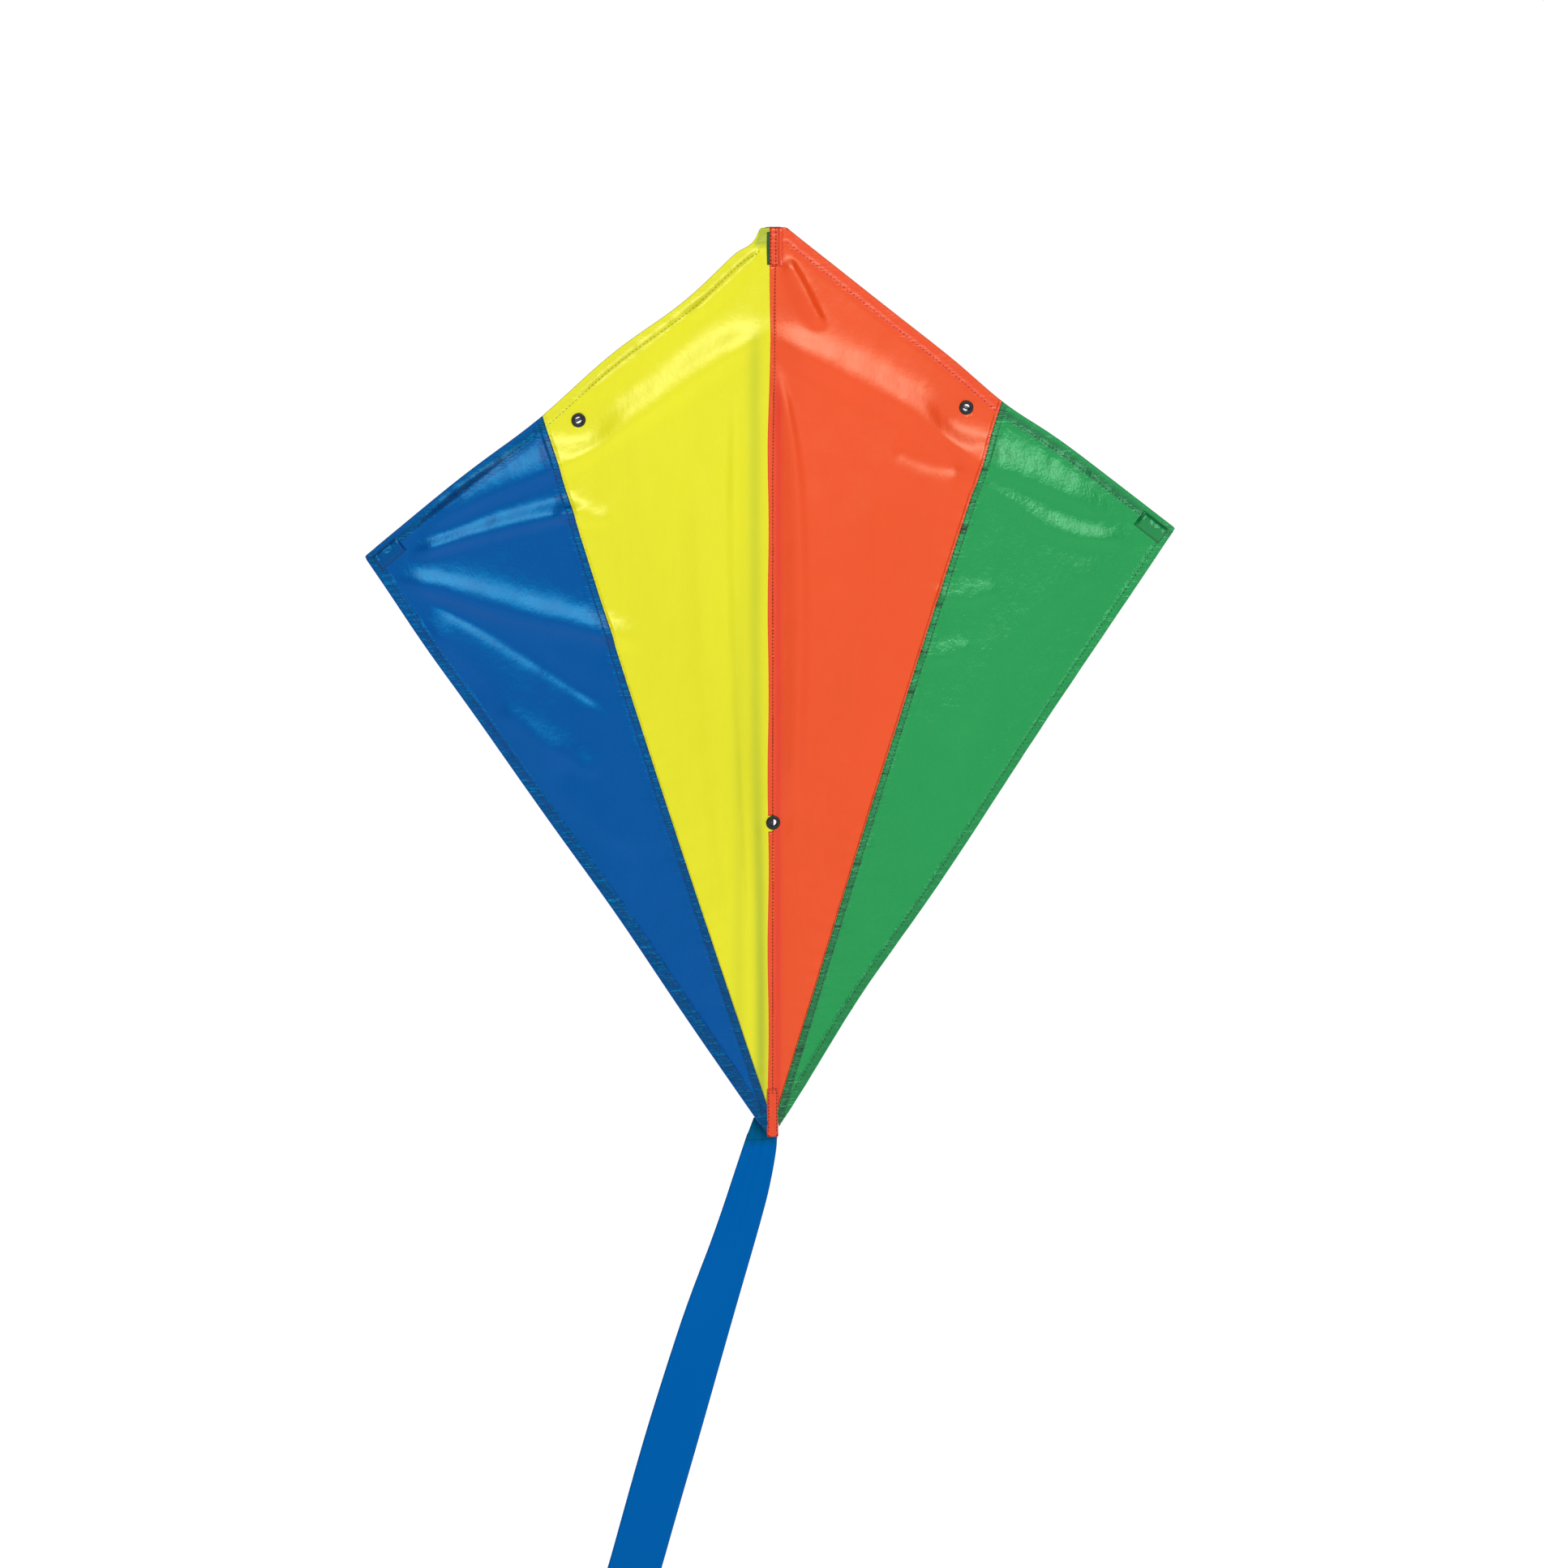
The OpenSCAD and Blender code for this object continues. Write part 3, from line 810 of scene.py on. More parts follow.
def layers_and_shade_at(x, z, side, name):
    """How deep the cloth's colour looks: 0 on single cloth, up to 1 where cloth lies behind it or where shade
    is painted on it.
    """
    settings = bpy.context.scene.kite_sail
    lead, trail, seam = edge_distances(x, z, side)
    low = smooth((200 * MM - z) / (420 * MM))
    hem = 0.1 if name == "yellow" else 0.25
    deep = hem * within(lead, settings.lead_hem, 0.8) * smooth((lead - 1.5 * MM) / (1.5 * MM))
    # painted shade: a dark stripe inside the leading hem's rounded edge
    if name in ("blue", "green"):
        deep += 0.5 * bell(lead - 7 * MM, 3 * MM)
    # the trailing hem and the seam band lie double and get darker towards the bottom; the seam band also
    # carries painted shade
    hem = 0.15 if name == "green" else 0.4
    deep += (hem + 0.3 * low) * within(trail, settings.trail_hem, 0.8)
    deep += (0.4 + 0.35 * low) * smooth(seam / (0.5 * MM)) * within(seam, settings.seam_band, 0.8)
    if name == "yellow":
        # painted shade: bands beside the centre line and along a crease further out, and a dark corner over
        # the nose pocket
        spine = bell(x - (17.5 - 6 * low) * MM, (6.5 - low) * MM)
        deep += (0.42 + 0.35 * low) * spine * smooth((490 * MM - z) / (60 * MM))
        deep += 0.22 * bell(x - 33 * MM, 6 * MM) * smooth((300 * MM - z) / (200 * MM))
        deep += 0.9 * smooth((z - 536 * MM) / (8 * MM)) * smooth((20 * MM - x) / (5 * MM))
    if name == "orange":
        # painted shadow beside the centre seam, and painted shade inside the leading hem's rounded edge
        deep += 0.9 * bell(x - 4.5 * MM, 3.4 * MM) * smooth((450 * MM - z) / (60 * MM))
        deep += 0.55 * bell(lead - 9.5 * MM, 1.8 * MM)
    return np.clip(deep, 0, 1)


def gathers_at(x, z, side, name):
    """Where the sewing gathers the cloth into fine creases, from 0 to 1; the material paints crease shade
    there too.
    """
    settings = bpy.context.scene.kite_sail
    lead, trail, seam = edge_distances(x, z, side)
    hem = 0.4 if name == "yellow" else 0.75
    near = hem * smooth(1 - np.abs(lead - settings.lead_hem) / (5 * MM))
    near += 0.25 * within(lead, 0, 12)
    near += (1.0 if name == "blue" else 0.6) * within(trail, settings.trail_hem, 3)
    outside = smooth((seam + 0.5 * MM) / (0.8 * MM)) * within(seam, settings.seam_band, 9)
    return np.clip(near + outside, 0, 1)


def make_panel(name):
    settings = bpy.context.scene.kite_sail
    side, kind, colour = PANELS[name]
    points = panel_grid(side, kind)
    faces = grid_faces(*points.shape[:2], flip=side == LEFT)
    if kind == "inner":
        for spot, _ in FLAT_ROUND:
            points, faces = open_hole(points, faces, spot)
    x, z = points[..., 0], points[..., 1]
    vertices = np.stack([side * x, sail_y(x, z, side), z], -1).reshape(-1, 3)
    piece = link_mesh(f"{name}_cloth", vertices, faces, cloth_material(colour))
    mark(piece, "layers", layers_and_shade_at(x, z, side, colour))
    mark(piece, "gathered", gathers_at(x, z, side, colour))
    seam = seam_distance(x, z, side)
    mark(piece, "band", smooth((seam + 0.4 * MM) / (0.8 * MM)) * within(seam, settings.seam_band, 1))
    thicken(piece, settings.cloth_t)
    hinge_blend(piece, side)
    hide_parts(name)
    first, last = points[0, 0], points[-1, 0]
    outline = [first, *points[0, ::8], points[0, -1], *points[::8, -1], points[-1, -1], last]
    cut = outline if kind == "inner" else turned(outline, first, last)


# ---------------------------------------------------------------- hems, seam bands and the centre seam

SEAM_LENGTH = 0.69  # nearly the length of a panel seam or a trailing edge, to set the steps along it
HEM_SPAN = (0.004, 0.985)  # the part of a trailing edge or a seam that its hem or band covers


def edge_path(side, edge, start, end, step=3.5 * MM):
    """Points along an edge or seam of the sail, and the direction in from it (out from a seam)."""
    if edge == "lead":
        x = np.linspace(start, end, max(2, int(abs(end - start) / step)))
        inward = np.array([-math.sin(Plan.lead_angle), -math.cos(Plan.lead_angle)])
        return np.stack([x, lead_z(x, side)], -1), inward
    t = np.linspace(start, end, max(2, int(abs(end - start) * SEAM_LENGTH / step)))
    if edge == "trail":
        slope = math.atan(Plan.tail_slope)
        return trail_point(t, side), np.array([-math.sin(slope), math.cos(slope)])
    run = (seam_point(np.array([1.0]), side) - seam_point(np.array([0.0]), side))[0]
    return seam_point(t, side), np.array([-run[1], run[0]]) / np.linalg.norm(run)


def folded_strip(name, side, edge, start, end, width, material):
    """Cloth turned over an edge to the back: along the back, round the edge and a lip in front."""
    cloth = bpy.context.scene.kite_sail.cloth_t
    path, inward = edge_path(side, edge, start, end)
    back = 0.3 * MM + cloth
    shape = [(width, back - 0.15 * MM), (width * 0.9, back), (width * 0.5, back + 0.1 * MM)]
    shape += [(1.2 * MM, back)]
    if edge != "seam":
        shape += [(0.15 * MM, back), (-0.35 * MM, 0.1 * MM)]
        shape += [(0.1 * MM, -0.28 * MM), (1.0 * MM, -0.12 * MM)]
    rows = []
    for reach, depth in shape:
        spots = path + inward * reach
        inner = path + inward * max(reach, 0.5 * MM)
        rows.append(np.stack([side * spots[:, 0], sail_y(*inner.T, side) + depth, spots[:, 1]], -1))
    piece = make_cloth(name, np.stack(rows, 1), material, 0.22 * MM, offset=0.0)
    hinge_blend(piece, side)
    return piece


HEMS = ["yellow_lead_hem", "blue_lead_hem", "blue_trail_hem", "blue_seam_band"]
HEMS += ["orange_lead_hem", "green_lead_hem", "green_trail_hem", "green_seam_band"]


def make_hem(name):
    """Makes the hem or band that its name tells: the panel's colour, then the edge."""
    settings = bpy.context.scene.kite_sail
    colour, edge, _ = name.split("_")
    side = LEFT if colour in ("yellow", "blue") else RIGHT
    if edge != "lead":
        span = HEM_SPAN
    elif colour in ("yellow", "orange"):
        span = (Plan.nose[0] + 1 * MM, Plan.seam_top[0])
    else:
        span = (Plan.seam_top[0], Plan.tip[0] - 1 * MM)
    width = {"lead": settings.lead_hem, "trail": settings.trail_hem, "seam": settings.seam_band}[edge]
    piece = folded_strip(name, side, edge, *span, width, cloth_material(colour))


def make_centre_seam():
    """The felled seam down the middle: folded orange cloth over the yellow cloth's edge."""
    z = np.linspace(Plan.nose[1] - 35 * MM, Plan.tail[1] + 36 * MM, 260)
    lean = 2.0 * MM * smooth((z - 330 * MM) / (170 * MM)) - 0.5 * MM * np.sin(z * 40)
    # points of the section in mm: across to the right, and depth from the face
    section = [(-4.9, 0.05), (-4.7, -0.42), (-3.9, -0.62), (-2.5, -0.66)]
    section += [(-1.0, -0.60), (-0.4, -0.35), (0.6, -0.5), (1.4, 0.05)]
    rows = []
    for across, depth in section:
        x = across * MM + lean
        wave = 0.12 * MM * np.sin(z * 900 + across)
        rows.append(np.stack([x, face_y(x, z) + depth * MM + wave, z], -1))
    points = np.stack(rows, 1)
    # it is left open at the lower eyelet
    gap = np.abs(points.reshape(-1, 3)[:, 2]) < Plan.eyelet_r - 1.2 * MM
    faces = grid_faces(*points.shape[:2], flip=True)
    faces = [face for face in faces if not gap[list(face)].any()]
    cloth_t = bpy.context.scene.kite_sail.cloth_t
    orange = cloth_material("orange")
    piece = make_cloth("centre_seam", points, orange, cloth_t, faces=faces, layers=0.2, gathered=0.25)
    settle(piece, "root", "centre_strip")


# ---------------------------------------------------------------- patches and pockets


class Local:
    """A flat frame on the sail: a middle, a direction along and one across."""

    def __init__(self, spot, along, across):
        self.spot, self.along, self.across = (np.array(v, float) for v in (spot, along, across))

    def to_sail(self, u, v, y):
        """Points at u along and v across, at depth y."""
        flat = self.spot + u[..., None] * self.along + v[..., None] * self.across
        return np.stack([flat[..., 0], np.broadcast_to(y, flat.shape[:-1]), flat[..., 1]], -1)


def tip_frame(side):
    """Along a wing's spar, round the middle of its tip pocket."""
    spot = middle(f"{SIDE_NAME[side]}_tip_pocket")
    run, fall = math.cos(Plan.lead_angle), math.sin(Plan.lead_angle)
    return Local((spot.x, spot.z), (side * run, -fall), (side * fall, run))


def upright(node, shift=0.0):
    """Straight up through the middle of a node, or beside it to the right."""
    spot = middle(node)
    return Local((spot.x + shift, spot.z), (0, 1), (1, 0))


def box_size(node):
    """Height and width of a node."""
    low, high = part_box(node)
    return high[2] - low[2], high[0] - low[0]


def patch(name, place, length, width, lift, material, depth_of, roll=0.0, bulge=0.0, round_end=False):
    """A sewn-on patch in front of depth_of(x, z), with turned-in edges, creases and stitched-down lines.

    roll lifts its right part and bulge its middle, both in mm.
    """
    u = np.linspace(-length / 2, length / 2, 41)
    v = np.linspace(-width / 2, width / 2, 25)
    u, v = np.meshgrid(u, v, indexing="ij")
    if round_end:
        end = np.clip((-length / 2 + width / 2 - u) / (width / 2), 0, 1)
        v = v * np.sqrt(np.clip(1 - end**2, 0.02, 1))
    edge = np.minimum(length / 2 - np.abs(u), width / 2 - np.abs(v))
    height = lift * smooth(edge / (0.7 * MM)) + 0.2 * MM * bell(edge - 2.6 * MM, 1.0 * MM)
    height -= 0.12 * MM * bell(edge - 1.3 * MM, 0.5 * MM)
    crease = noise_at(u, v, 260, 420, len(name)) * 0.45 + noise_at(u, v, 90, 150, 3.3) * 0.5
    height += 0.32 * MM * crease * smooth(edge / (2 * MM))
    rolled = smooth((v - 0.1 * width) / (0.14 * width)) * smooth((0.5 * width - v) / (0.05 * width))
    height += roll * MM * rolled
    arch = np.clip(1 - (2 * v / width) ** 2, 0, 1)
    height += bulge * MM * arch * smooth((length / 2 - np.abs(u)) / (4 * MM))
    height = np.maximum(height, 0.02 * MM)
    points = place.to_sail(u, v, 0)
    points[..., 1] = depth_of(points[..., 0], points[..., 2]) - height
    layers = 0.4 + 0.4 * bell(edge - 1.2 * MM, 0.5 * MM)
    return make_cloth(name, points, material, 0.25 * MM, layers=layers, gathered=0.3)


def pocket(name, place, length, width, top, material):
    """A sewn pocket behind the sail for a rod's end: an arched sleeve, closed at its far end."""
    dome_l = 3 * MM
    far = length / 2
    steps = np.array([0.75, 0.5, 0.3, 0.15, 0.05, 0])
    u = np.concatenate([np.linspace(-far, far - dome_l, 30), far - dome_l * steps])
    u, v = np.meshgrid(u, np.linspace(-1, 1, 33), indexing="ij")
    arch = np.clip(1 - np.abs(v) ** 4, 0, 1) ** 0.4
    dome = np.sqrt(np.clip(1 - np.clip((u - far + dome_l) / dome_l, 0, 1) ** 2, 0, 1))
    ease = 0.35 * MM * noise_at(u, v, 160, 2.2, 9.1)
    sleeve = (top - Plan.cloth_back - 0.4 * MM) * arch * dome
    depth = Plan.cloth_back + 0.2 * MM + sleeve + ease * arch * dome
    points = place.to_sail(u, v * width / 2, depth)
    return make_cloth(name, points, material, 0.3 * MM, offset=0.0, layers=0.3)


# ---------------------------------------------------------------- rods

ROD_SIDES = 14


def tube(name, path, radius, material):
    """A round rod along a path, with slightly eased ends."""
    path = np.array(path, float)
    along = np.gradient(path, axis=0)
    along /= np.linalg.norm(along, axis=1)[:, None]
    up = np.array([0.0, 1.0, 0.0])
    ends = [0.55, 0.9, *([1.0] * (len(path) - 4)), 0.9, 0.55]
    turn = np.linspace(0, 2 * math.pi, ROD_SIDES, endpoint=False)[:, None]
    rings = []
    for spot, way, share in zip(path, along, ends):
        across = np.cross(way, up)
        across /= np.linalg.norm(across)
        rings.append(spot + radius * share * (np.cos(turn) * across + np.sin(turn) * up))
    vertices = np.concatenate(rings)
    faces = grid_faces(len(path), ROD_SIDES, wrap=True)
    faces += [tuple(range(ROD_SIDES))[::-1], tuple(range(len(vertices) - ROD_SIDES, len(vertices)))]
    piece = link_mesh(name, vertices, faces, material)
    outwards(piece)
    return piece


def spar_path(side):
    """The middle line of one half of the cross spar: an arc from the centre, then straight to the cap."""
    end = farthest("cross_spar", (1, 0, -1))
    low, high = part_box("cross_spar")
    radius = (high[1] - low[1]) / 2
    a = Plan.lead_angle
    x_end, z_end = end[0] - radius * 0.6, low[2] + radius * math.cos(a)
    apex = high[2] - radius
    bend_x = (z_end + x_end * math.tan(a) - apex) / (math.tan(a) - math.tan(a / 2))
    arc_r = bend_x / math.sin(a)
    turn = np.linspace(0, a, 40)
    arc = [arc_r * np.sin(turn), 0 * turn + Plan.spar_y, apex - arc_r * (1 - np.cos(turn))]
    arc = np.stack(arc, -1)
    last = np.array([x_end, Plan.spar_y, z_end])
    share = np.array([0.1, 0.3, 0.5, 0.7, 0.9, 0.993, 0.998, 1.0])[:, None]
    path = np.concatenate([arc, arc[-1] + (last - arc[-1]) * share])
    path[:, 0] *= side
    return path, radius


# ---------------------------------------------------------------- ribbon tail

# The ribbon's edges near its head, as height and place across in mm.
RIBBON_LEFT = ((-283, -16.1), (-300, -22.6), (-315, -27.6), (-385, -51.6))
RIBBON_LEFT += ((-452, -77.6), (-517, -98.6), (-600, -124.6), (-702, -152.6))
RIBBON_RIGHT = ((-283, 5.9), (-300, 6.4), (-315, 6), (-350, -0.6), (-380, -8.6))
RIBBON_RIGHT += ((-460, -31.6), (-541, -54.6), (-620, -76.6), (-702, -99.6))


def ribbon_edges(z):
    """The ribbon's left and right edges at a height, in metres; straight below the last point."""
    edges = []
    for outline in (RIBBON_LEFT, RIBBON_RIGHT):
        heights, across = eased(np.array(outline[::-1]) * MM, 2).T
        below = across[0] - (heights[0] - z) * math.tan(RIBBON_SLANT)
        edges.append(np.where(z < heights[0], below, np.interp(z, heights, across)))
    return edges


def make_ribbon(name, top, end, depth, material):
    """A length of the ribbon from one height down to another, gathered at its top, with soft waves."""
    settings = bpy.context.scene.kite_tail
    rows, columns = max(12, int((top - end) / (4 * MM))), 21
    z = np.linspace(top, end, rows)[:, None]
    v = np.linspace(0, 1, columns)[None]
    left, right = ribbon_edges(z)
    x = left + (right - left) * v
    down = top - z
    waves = np.sin(down * 11 + 0.6) * 0.6 + np.sin(down * 23 + v * 1.4) * 0.25
    wave = settings.sway * smooth(down / 0.15) * waves
    inside = smooth(v / 0.1) * smooth((1 - v) / 0.1)
    gather = 0.55 * MM * np.sin(v * math.pi * 7) * np.exp(-down / (40 * MM)) * inside
    crease = 0.35 * MM * bell(v - 0.58, 0.03) * np.exp(-down / 0.25)
    points = np.stack([x, depth - wave - gather - crease, z + 0 * x], -1)
    return make_cloth(name, points, material, 0.3 * MM, offset=0.0)


# ---------------------------------------------------------------- stitches by Geometry Nodes

THREAD_LIFT = 0.05 * MM  # from the cloth's face to the middle of the thread
SEW_INSET = 1.3 * MM  # from a hem's or a patch's edge to the sewing line
NOSE_PATCH_SHIFT, NOSE_SLIT_SHIFT = 2.8 * MM, -4.5 * MM  # to the right of the middle of the CAD patch
TAIL_PATCH_SHIFT = -0.6 * MM
TIP_PATCH_LENGTH = 30 * MM

def stitch_tree():
    """Puts a rounded stitch at each pitch along the edges of a mesh, turned along its row."""
    tree = bpy.data.node_groups.new("stitch_rows", "GeometryNodeTree")
    given_sockets = {
        "Rows": "Geometry",
        "Pitch": "Float",
        "Length": "Float",
        "Thread radius": "Float",
        "Seed": "Int",
        "Thread": "Material",
    }
    for name, kind in given_sockets.items():
        tree.interface.new_socket(name, in_out="INPUT", socket_type=f"NodeSocket{kind}")
    tree.interface.new_socket("Stitches", in_out="OUTPUT", socket_type="NodeSocketGeometry")

    def add(kind, inputs=None, **settings):
        made = tree.nodes.new(kind)
        for key, value in settings.items():
            setattr(made, key, value)
        for key, value in (inputs or {}).items():
            made.inputs[key].default_value = value
        return made

    given, result = add("NodeGroupInput"), add("NodeGroupOutput")
    curve = add("GeometryNodeMeshToCurve")
    even = add("GeometryNodeResampleCurve", mode="LENGTH")
    ball = add("GeometryNodeMeshUVSphere", {"Segments": 8, "Rings": 5, "Radius": 0.5})
    size = add("ShaderNodeCombineXYZ")
    double = add("ShaderNodeMath", {1: 2}, operation="MULTIPLY")
    shape = add("GeometryNodeTransform")
    tangent = add("GeometryNodeInputTangent")
    turn = add("FunctionNodeAlignRotationToVector", axis="X")
    least, most = (0.86, 0.85, 0.85), (1.08, 1.1, 1.1)
    vary = add("FunctionNodeRandomValue", {0: least, 1: most}, data_type="FLOAT_VECTOR")
    place = add("GeometryNodeInstanceOnPoints")
    real = add("GeometryNodeRealizeInstances")
    smooth_all = add("GeometryNodeSetShadeSmooth")
    paint = add("GeometryNodeSetMaterial")
    chain = (given, curve, even, place, real, smooth_all, paint, result)
    for source, target in zip(chain, chain[1:]):
        tree.links.new(source.outputs[0], target.inputs[0])
    for source, out, target, into in (
        (given, "Pitch", even, "Length"),
        (given, "Thread radius", double, 0),
        (given, "Length", size, "X"),
        (double, 0, size, "Y"),
        (double, 0, size, "Z"),
        (ball, "Mesh", shape, "Geometry"),
        (size, 0, shape, "Scale"),
        (tangent, 0, turn, "Vector"),
        (given, "Seed", vary, "Seed"),
        (shape, 0, place, "Instance"),
        (turn, 0, place, "Rotation"),
        (vary, 0, place, "Scale"),
        (given, "Thread", paint, "Material"),
    ):
        tree.links.new(source.outputs[out], target.inputs[into])
    return tree


def stitches(name, rows, material, seed, pitch_share=1.0):
    """Sews rows (arrays of points in metres) and gives back one plain mesh."""
    sewing = bpy.context.scene.kite_sewing
    vertices, edges = [], []
    for row in rows:
        first = len(vertices)
        vertices += [tuple(map(float, point)) for point in row]
        edges += [(first + k, first + k + 1) for k in range(len(row) - 1)]
    mesh = bpy.data.meshes.new(name)
    mesh.from_pydata(vertices, edges, [])
    piece = bpy.data.objects.new(name, mesh)
    bpy.context.scene.collection.objects.link(piece)
    tree = bpy.data.node_groups.get("stitch_rows") or stitch_tree()
    nodes = piece.modifiers.new("sewing", "NODES")
    nodes.node_group = tree
    values = {
        "Pitch": sewing.pitch * pitch_share,
        "Length": sewing.length * pitch_share,
        "Thread radius": sewing.thread_r,
        "Seed": seed,
        "Thread": material,
    }
    for item in tree.interface.items_tree:
        if item.in_out == "INPUT" and item.name in values:
            nodes[item.identifier] = values[item.name]
    bake(piece)
    return piece


def edge_row(side, edge, start, end, inset):
    """A sewing line along an edge or a seam, on the face of the sail."""
    path, inward = edge_path(side, edge, start, end, 3 * MM)
    x, z = (path + inward * inset).T
    return np.stack([side * x, sail_y(x, z, side) - THREAD_LIFT, z], -1)


def local_row(place, corners, depth, depth_of=None):
    """A sewing line through corners (mm along, mm across) of a local frame, in steps of about 2 mm."""
    points = []
    for (u0, v0), (u1, v1) in zip(corners, corners[1:]):
        steps = max(2, int(math.hypot(u1 - u0, v1 - v0) / 2))
        points += [(u0 + (u1 - u0) * k / steps, v0 + (v1 - v0) * k / steps) for k in range(steps)]
    points.append(corners[-1])
    u, v = np.array(points).T * MM
    row = place.to_sail(u, v, 0)
    base = depth_of(row[:, 0], row[:, 2]) if depth_of else 0
    row[:, 1] = base + depth * MM
    return row


# ---------------------------------------------------------------- operators

FLOOR_REACH, FLOOR_DROP = 60, 50 * MM  # half the floor's width, and its depth below the kite, in metres


class KITE_OT_stage(bpy.types.Operator):
    """Makes the camera, the pale floor and the soft studio light"""

    bl_idname = "kite.stage"
    bl_label = "Stage"

    def execute(self, context):
        stage = context.scene.kite_stage
        az, el = stage.azimuth, stage.elevation
        back = Vector((math.sin(az) * math.cos(el), -math.cos(az) * math.cos(el), math.sin(el)))
        camera = bpy.data.objects.new("camera", bpy.data.cameras.new("camera"))
        context.scene.collection.objects.link(camera)
        camera.location = Vector(stage.aim) + back * stage.distance
        camera.rotation_mode = "QUATERNION"
        camera.rotation_quaternion = (-back).to_track_quat("-Z", "Y")
        camera.data.lens = stage.lens
        camera.data.clip_end = 200
        context.scene.camera = camera

        low = Vector(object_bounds()[0])
        floor = link_mesh(
            "floor",
            [(x * FLOOR_REACH, y * FLOOR_REACH, 0) for x, y in ((-1, -1), (1, -1), (1, 1), (-1, 1))],
            [(0, 1, 2, 3)],
            Tree(
                "floor_white",
                Base_Color=(0.5, 0.5, 0.5, 1),
                Roughness=0.9,
                Specular_IOR_Level=0.1,
                Emission_Color=(1, 1, 1, 1),
                Emission_Strength=0.96,
            ).material,
        )
        floor.location.z = low.z - FLOOR_DROP
        floor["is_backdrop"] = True

        world = bpy.data.worlds.new("sky")
        world.use_nodes = True
        world.node_tree.nodes["Background"].inputs["Color"].default_value = (1, 1, 1, 1)
        world.node_tree.nodes["Background"].inputs["Strength"].default_value = stage.sky
        context.scene.world = world
        context.scene.view_settings.view_transform = "Standard"

        def soft_light(name, place, size, power):
            lamp = bpy.data.objects.new(name, bpy.data.lights.new(name, "AREA"))
            lamp.data.shape, lamp.data.energy = "RECTANGLE", power
            lamp.data.size, lamp.data.size_y = size
            lamp.location = place
            lamp.rotation_mode = "QUATERNION"
            lamp.rotation_quaternion = (Vector((0, 0, 0.1)) - Vector(place)).to_track_quat("-Z", "Y")
            context.scene.collection.objects.link(lamp)

        soft_light("key", (-1.6, -3.2, 3.0), (1.6, 1.6), stage.key)
        soft_light("gleam", (0.75, -3.8, 1.45), (3.2, 0.5), stage.gleam)
        return {"FINISHED"}


class KITE_OT_sail(bpy.types.Operator):
    """Makes the four cloth panels"""

    bl_idname = "kite.sail"
    bl_label = "Sail panels"

    def execute(self, context):
        for name in PANELS:
            make_panel(name)
        return {"FINISHED"}


class KITE_OT_hems(bpy.types.Operator):
    """Makes the folded hems, the bands behind the panel seams and the centre seam"""

    bl_idname = "kite.hems"
    bl_label = "Hems and seams"

    def execute(self, context):
        for name in HEMS:
            make_hem(name)
        make_centre_seam()
        return {"FINISHED"}


class KITE_OT_patches(bpy.types.Operator):
    """Makes the sewn patches in front and the pockets behind at the nose, the tail and both tips"""

    bl_idname = "kite.patches"
    bl_label = "Patches and pockets"

    def execute(self, context):
        orange = cloth_material("orange")
        tail = middle("tail_patch")
        tall, _ = box_size("nose_patch")
        piece = patch(
            "nose_patch_cloth",
            upright("nose_patch", NOSE_PATCH_SHIFT),
            tall,
            12.2 * MM,
            0.55 * MM,
            orange,
            lambda x, z: face_y(x, z) - 0.6 * MM,
            roll=1.0,
        )
        settle(piece, "root", "nose_patch")
        # painted shade: a dark strip laid at the slit of the nose pocket, beside the patch
        u = np.linspace(-tall / 2 + 1.5 * MM, tall / 2 - 4 * MM, 40)[:, None]
        v = np.linspace(-1, 1, 7)[None]
        spread = (1.1 + 0.5 * np.sin((u / tall + 0.5) * math.pi)) * MM
        points = upright("nose_patch", NOSE_SLIT_SHIFT).to_sail(u + 0 * v, v * spread, 0)
        points[..., 1] = face_y(points[..., 0], points[..., 2]) - 0.35 * MM + 0.25 * MM * np.abs(v)
        faces = grid_faces(*points.shape[:2], flip=True)
        shade_strip = make_cloth("nose_pocket_lining", points, slit_shade_cloth(), 0.2 * MM, faces=faces)
        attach(shade_strip, "root")
        tall, _ = box_size("tail_patch")
        piece = patch(
            "tail_patch_cloth",
            upright("tail_patch", TAIL_PATCH_SHIFT),
            tall,
            10.8 * MM,
            0.5 * MM,
            orange,
            lambda x, z: -0.55 * MM + 0 * x,
            round_end=True,
        )
        settle(piece, "root", "tail_patch")

        upside_down = Local((tail.x, tail.z), (0, -1), (-1, 0))
        for name, place in (("nose_pocket", upright("nose_patch")), ("tail_pocket", upside_down)):
            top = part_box(name)[1][1]
            piece = pocket(f"{name}_cloth", place, *box_size(name), top, orange)
            settle(piece, "root", name)
        for side, colour, bulge in ((LEFT, "blue", 1.2), (RIGHT, "green", 2.4)):
            word, place, cloth = SIDE_NAME[side], tip_frame(side), cloth_material(colour)
            long, top = TIP_PATCH_LENGTH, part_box(f"{word}_tip_pocket")[1][1]
            tall, _ = box_size(f"{word}_tip_pocket")
            wide = (tall - long * math.sin(Plan.lead_angle)) / math.cos(Plan.lead_angle)
            name = f"{word}_tip_patch_cloth"
            front = patch(name, place, long, wide, 0.5 * MM, cloth, face_y, bulge=bulge)
            behind = pocket(f"{word}_tip_pocket_cloth", place, long, wide, top, cloth)
            for piece, node in ((front, "patch"), (behind, "pocket")):
                settle(piece, WING[side], f"{word}_tip_{node}")
        return {"FINISHED"}


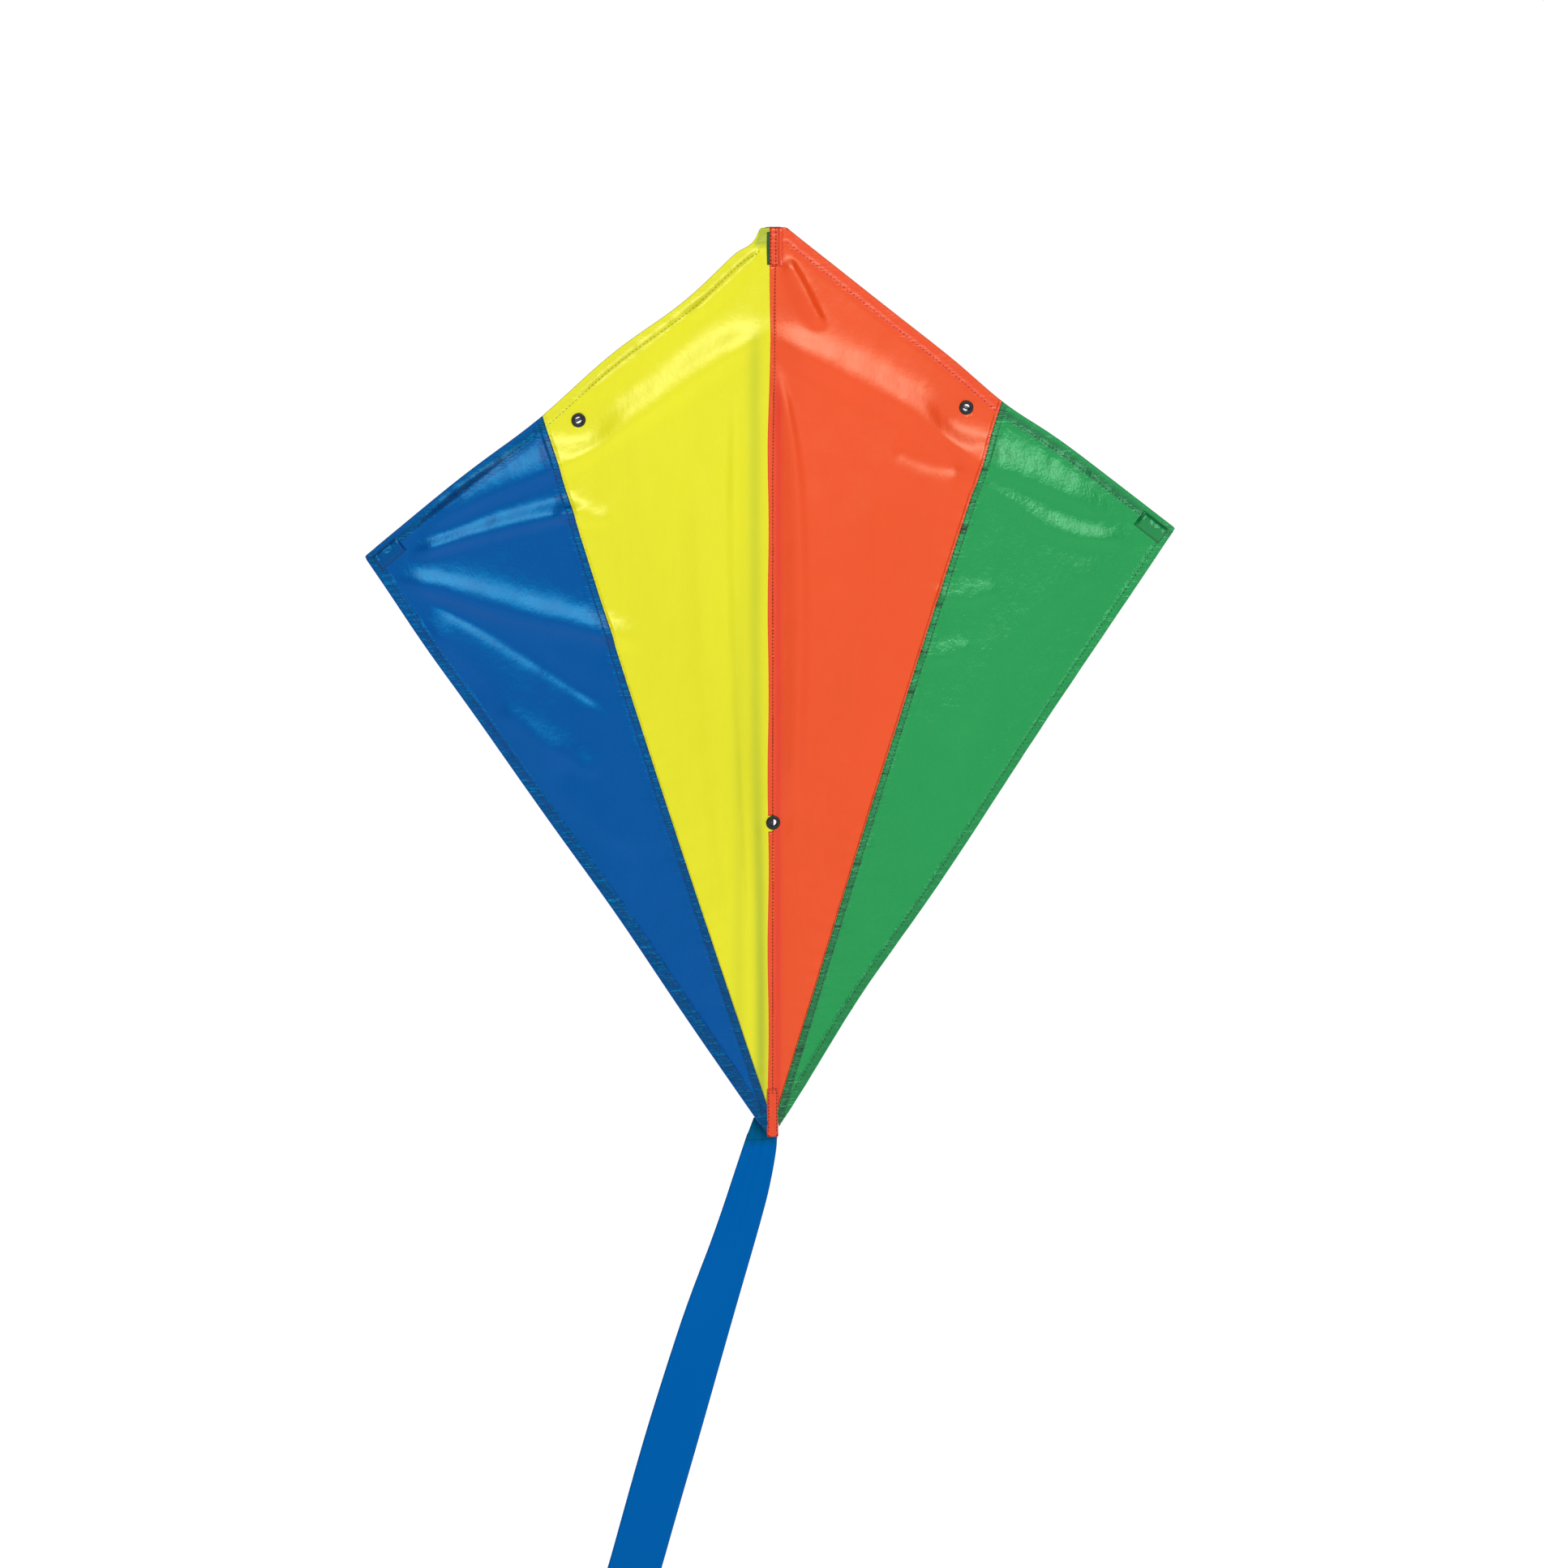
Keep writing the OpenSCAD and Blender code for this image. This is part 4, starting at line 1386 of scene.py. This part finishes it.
class KITE_OT_rods(bpy.types.Operator):
    """Makes the arched halves of the cross spar, and finishes the spine and the fittings"""

    bl_idname = "kite.rods"
    bl_label = "Rods and fittings"

    def execute(self, context):
        glass = rod_glass("rod_glass", GLASS)
        for side in (LEFT, RIGHT):
            path, radius = spar_path(side)
            piece = tube(f"{SIDE_NAME[side]}_half_spar", path, radius, glass)
            hinge_blend(piece, side)
            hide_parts("cross_spar")
        spine = rod_glass("spine_glass", GLASS)
        vinyl = moulded("soft_vinyl", (0.012, 0.012, 0.013), 0.42, 0.05 * MM)
        black = moulded("eyelet_plastic", (0.004, 0.0045, 0.006), 0.24, 0.02 * MM, coat=0.1)
        finish = {"spine": spine, "centre_joiner": vinyl}
        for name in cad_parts:
            if name.endswith("_cap"):
                finish[name] = vinyl
            if name.endswith(("_eyelet", "_washer")):
                finish[name] = black
        for name, material in finish.items():
            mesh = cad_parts[name].data
            mesh.materials.clear()
            mesh.materials.append(material)
        return {"FINISHED"}


class KITE_OT_tail(bpy.types.Operator):
    """Makes the ribbon tail and the gathered piece by which it hangs"""

    bl_idname = "kite.tail"
    bl_label = "Ribbon tail"

    def execute(self, context):
        settings = context.scene.kite_tail
        cloth = ribbon_cloth("nylon_ribbon", tuple(settings.colour))
        head_low, head_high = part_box("tail_head")
        low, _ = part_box("tail_ribbon")
        head_top = head_high[2] + 1 * MM
        head = make_ribbon("tail_head_cloth", head_top, head_low[2], head_low[1], cloth)
        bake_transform(head)
        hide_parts("tail_head")
        top = head_low[2] + 6 * MM
        ribbon = make_ribbon("tail_ribbon_cloth", top, low[2] + 2 * MM, low[1] + 0.3 * MM, cloth)
        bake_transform(ribbon)
        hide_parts("tail_ribbon")
        return {"FINISHED"}


class KITE_OT_sewing(bpy.types.Operator):
    """Sews the hems, the panel seams, the centre seam and the patches"""

    bl_idname = "kite.sewing"
    bl_label = "Stitches"

    def execute(self, context):
        sail = context.scene.kite_sail
        on_lead, on_trail = sail.lead_hem - SEW_INSET, sail.trail_hem - SEW_INSET
        for side, inner, outer in ((LEFT, "yellow", "blue"), (RIGHT, "orange", "green")):
            rows = [edge_row(side, "lead", Plan.nose[0] + 8 * MM, Plan.seam_top[0] - 1 * MM, on_lead)]
            piece = stitches(f"{inner}_stitches", rows, thread_material(inner), 3)
            hinge_blend(piece, side)
            rows = [
                edge_row(side, "lead", Plan.seam_top[0] + 8 * MM, Plan.tip[0] - 22 * MM, on_lead),
                edge_row(side, "trail", 0.03, 0.975, on_trail),
                edge_row(side, "seam", 0.012, 0.985, 1.0 * MM),
                edge_row(side, "seam", 0.012, 0.975, sail.seam_band - SEW_INSET),
            ]
            piece = stitches(f"{outer}_stitches", rows, thread_material(outer), 5)
            hinge_blend(piece, side)
            # round the tip's patch, in mm from its middle
            long, wide = 15 - 1.3, 8 - 1.3
            corners = [(-long, -wide), (long, -wide), (long, wide), (-long, wide), (-long, -wide)]
            row = local_row(tip_frame(side), corners, -0.55, face_y)
            piece = stitches(f"{SIDE_NAME[side]}_tip_stitches", [row], thread_material(outer), 7, 0.75)
            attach(piece, WING[side])
        # down the centre seam, past the lower eyelet
        centre = Local((0, 0), (0, 1), (1, 0))
        z_top, z_end = Plan.nose[1] / MM - 38, Plan.tail[1] / MM + 38
        upper = [(z_top, 1.9), (430, 1.2), (330, -0.4), (8, -0.4)]
        rows = [local_row(centre, line, -0.72, face_y) for line in (upper, [(-8, -0.4), (z_end, -0.4)])]
        # the fold and the edge of the nose patch
        nose = upright("nose_patch", NOSE_PATCH_SHIFT)
        rows.append(local_row(nose, [(17, -0.4), (-16.6, -0.4)], -1.6, face_y))
        edge = [(17, 5.0), (-16.6, 5.0), (-16.6, -5.2), (17, -5.2)]
        rows.append(local_row(nose, edge, -1.35, face_y))
        # the edge of the tail patch and the line across it
        tail = upright("tail_patch", TAIL_PATCH_SHIFT)
        rows.append(local_row(tail, [(-17, 3.8), (21.5, 3.8), (21.5, -3.8), (-17, -3.8)], -1.15))
        rows.append(local_row(tail, [(19, -3.8), (19, 3.8)], -1.15))
        piece = stitches("centre_stitches", rows, thread_material("orange"), 11, 0.8)
        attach(piece, "root")
        return {"FINISHED"}


OPERATORS = [KITE_OT_stage, KITE_OT_sail, KITE_OT_hems, KITE_OT_patches, KITE_OT_rods, KITE_OT_tail]
OPERATORS += [KITE_OT_sewing]


class VIEW3D_PT_kite(bpy.types.Panel):
    """Lists the kite's pieces in the sidebar"""

    bl_label = "Diamond kite"
    bl_space_type = "VIEW_3D"
    bl_region_type = "UI"
    bl_category = "Kite"

    def draw(self, context):
        for operator in OPERATORS:
            self.layout.operator(operator.bl_idname)
        for settings in GROUPS:
            box = self.layout.box()
            for name in GROUPS[settings].__annotations__:
                box.prop(getattr(context.scene, settings), name)


GROUPS = {
    "kite_sail": KiteSailSettings,
    "kite_sewing": KiteSewingSettings,
    "kite_tail": KiteTailSettings,
    "kite_stage": KiteStageSettings,
}


def register():
    for cls in [*GROUPS.values(), *OPERATORS, VIEW3D_PT_kite]:
        bpy.utils.register_class(cls)
    for name, cls in GROUPS.items():
        setattr(bpy.types.Scene, name, bpy.props.PointerProperty(type=cls))


def unregister():
    for name in GROUPS:
        delattr(bpy.types.Scene, name)
    for cls in reversed([*GROUPS.values(), *OPERATORS, VIEW3D_PT_kite]):
        bpy.utils.unregister_class(cls)


def main():
    register()
    for operator in OPERATORS:
        group, name = operator.bl_idname.split(".")
        getattr(getattr(bpy.ops, group), name)()


if __name__ == "__main__":
    main()
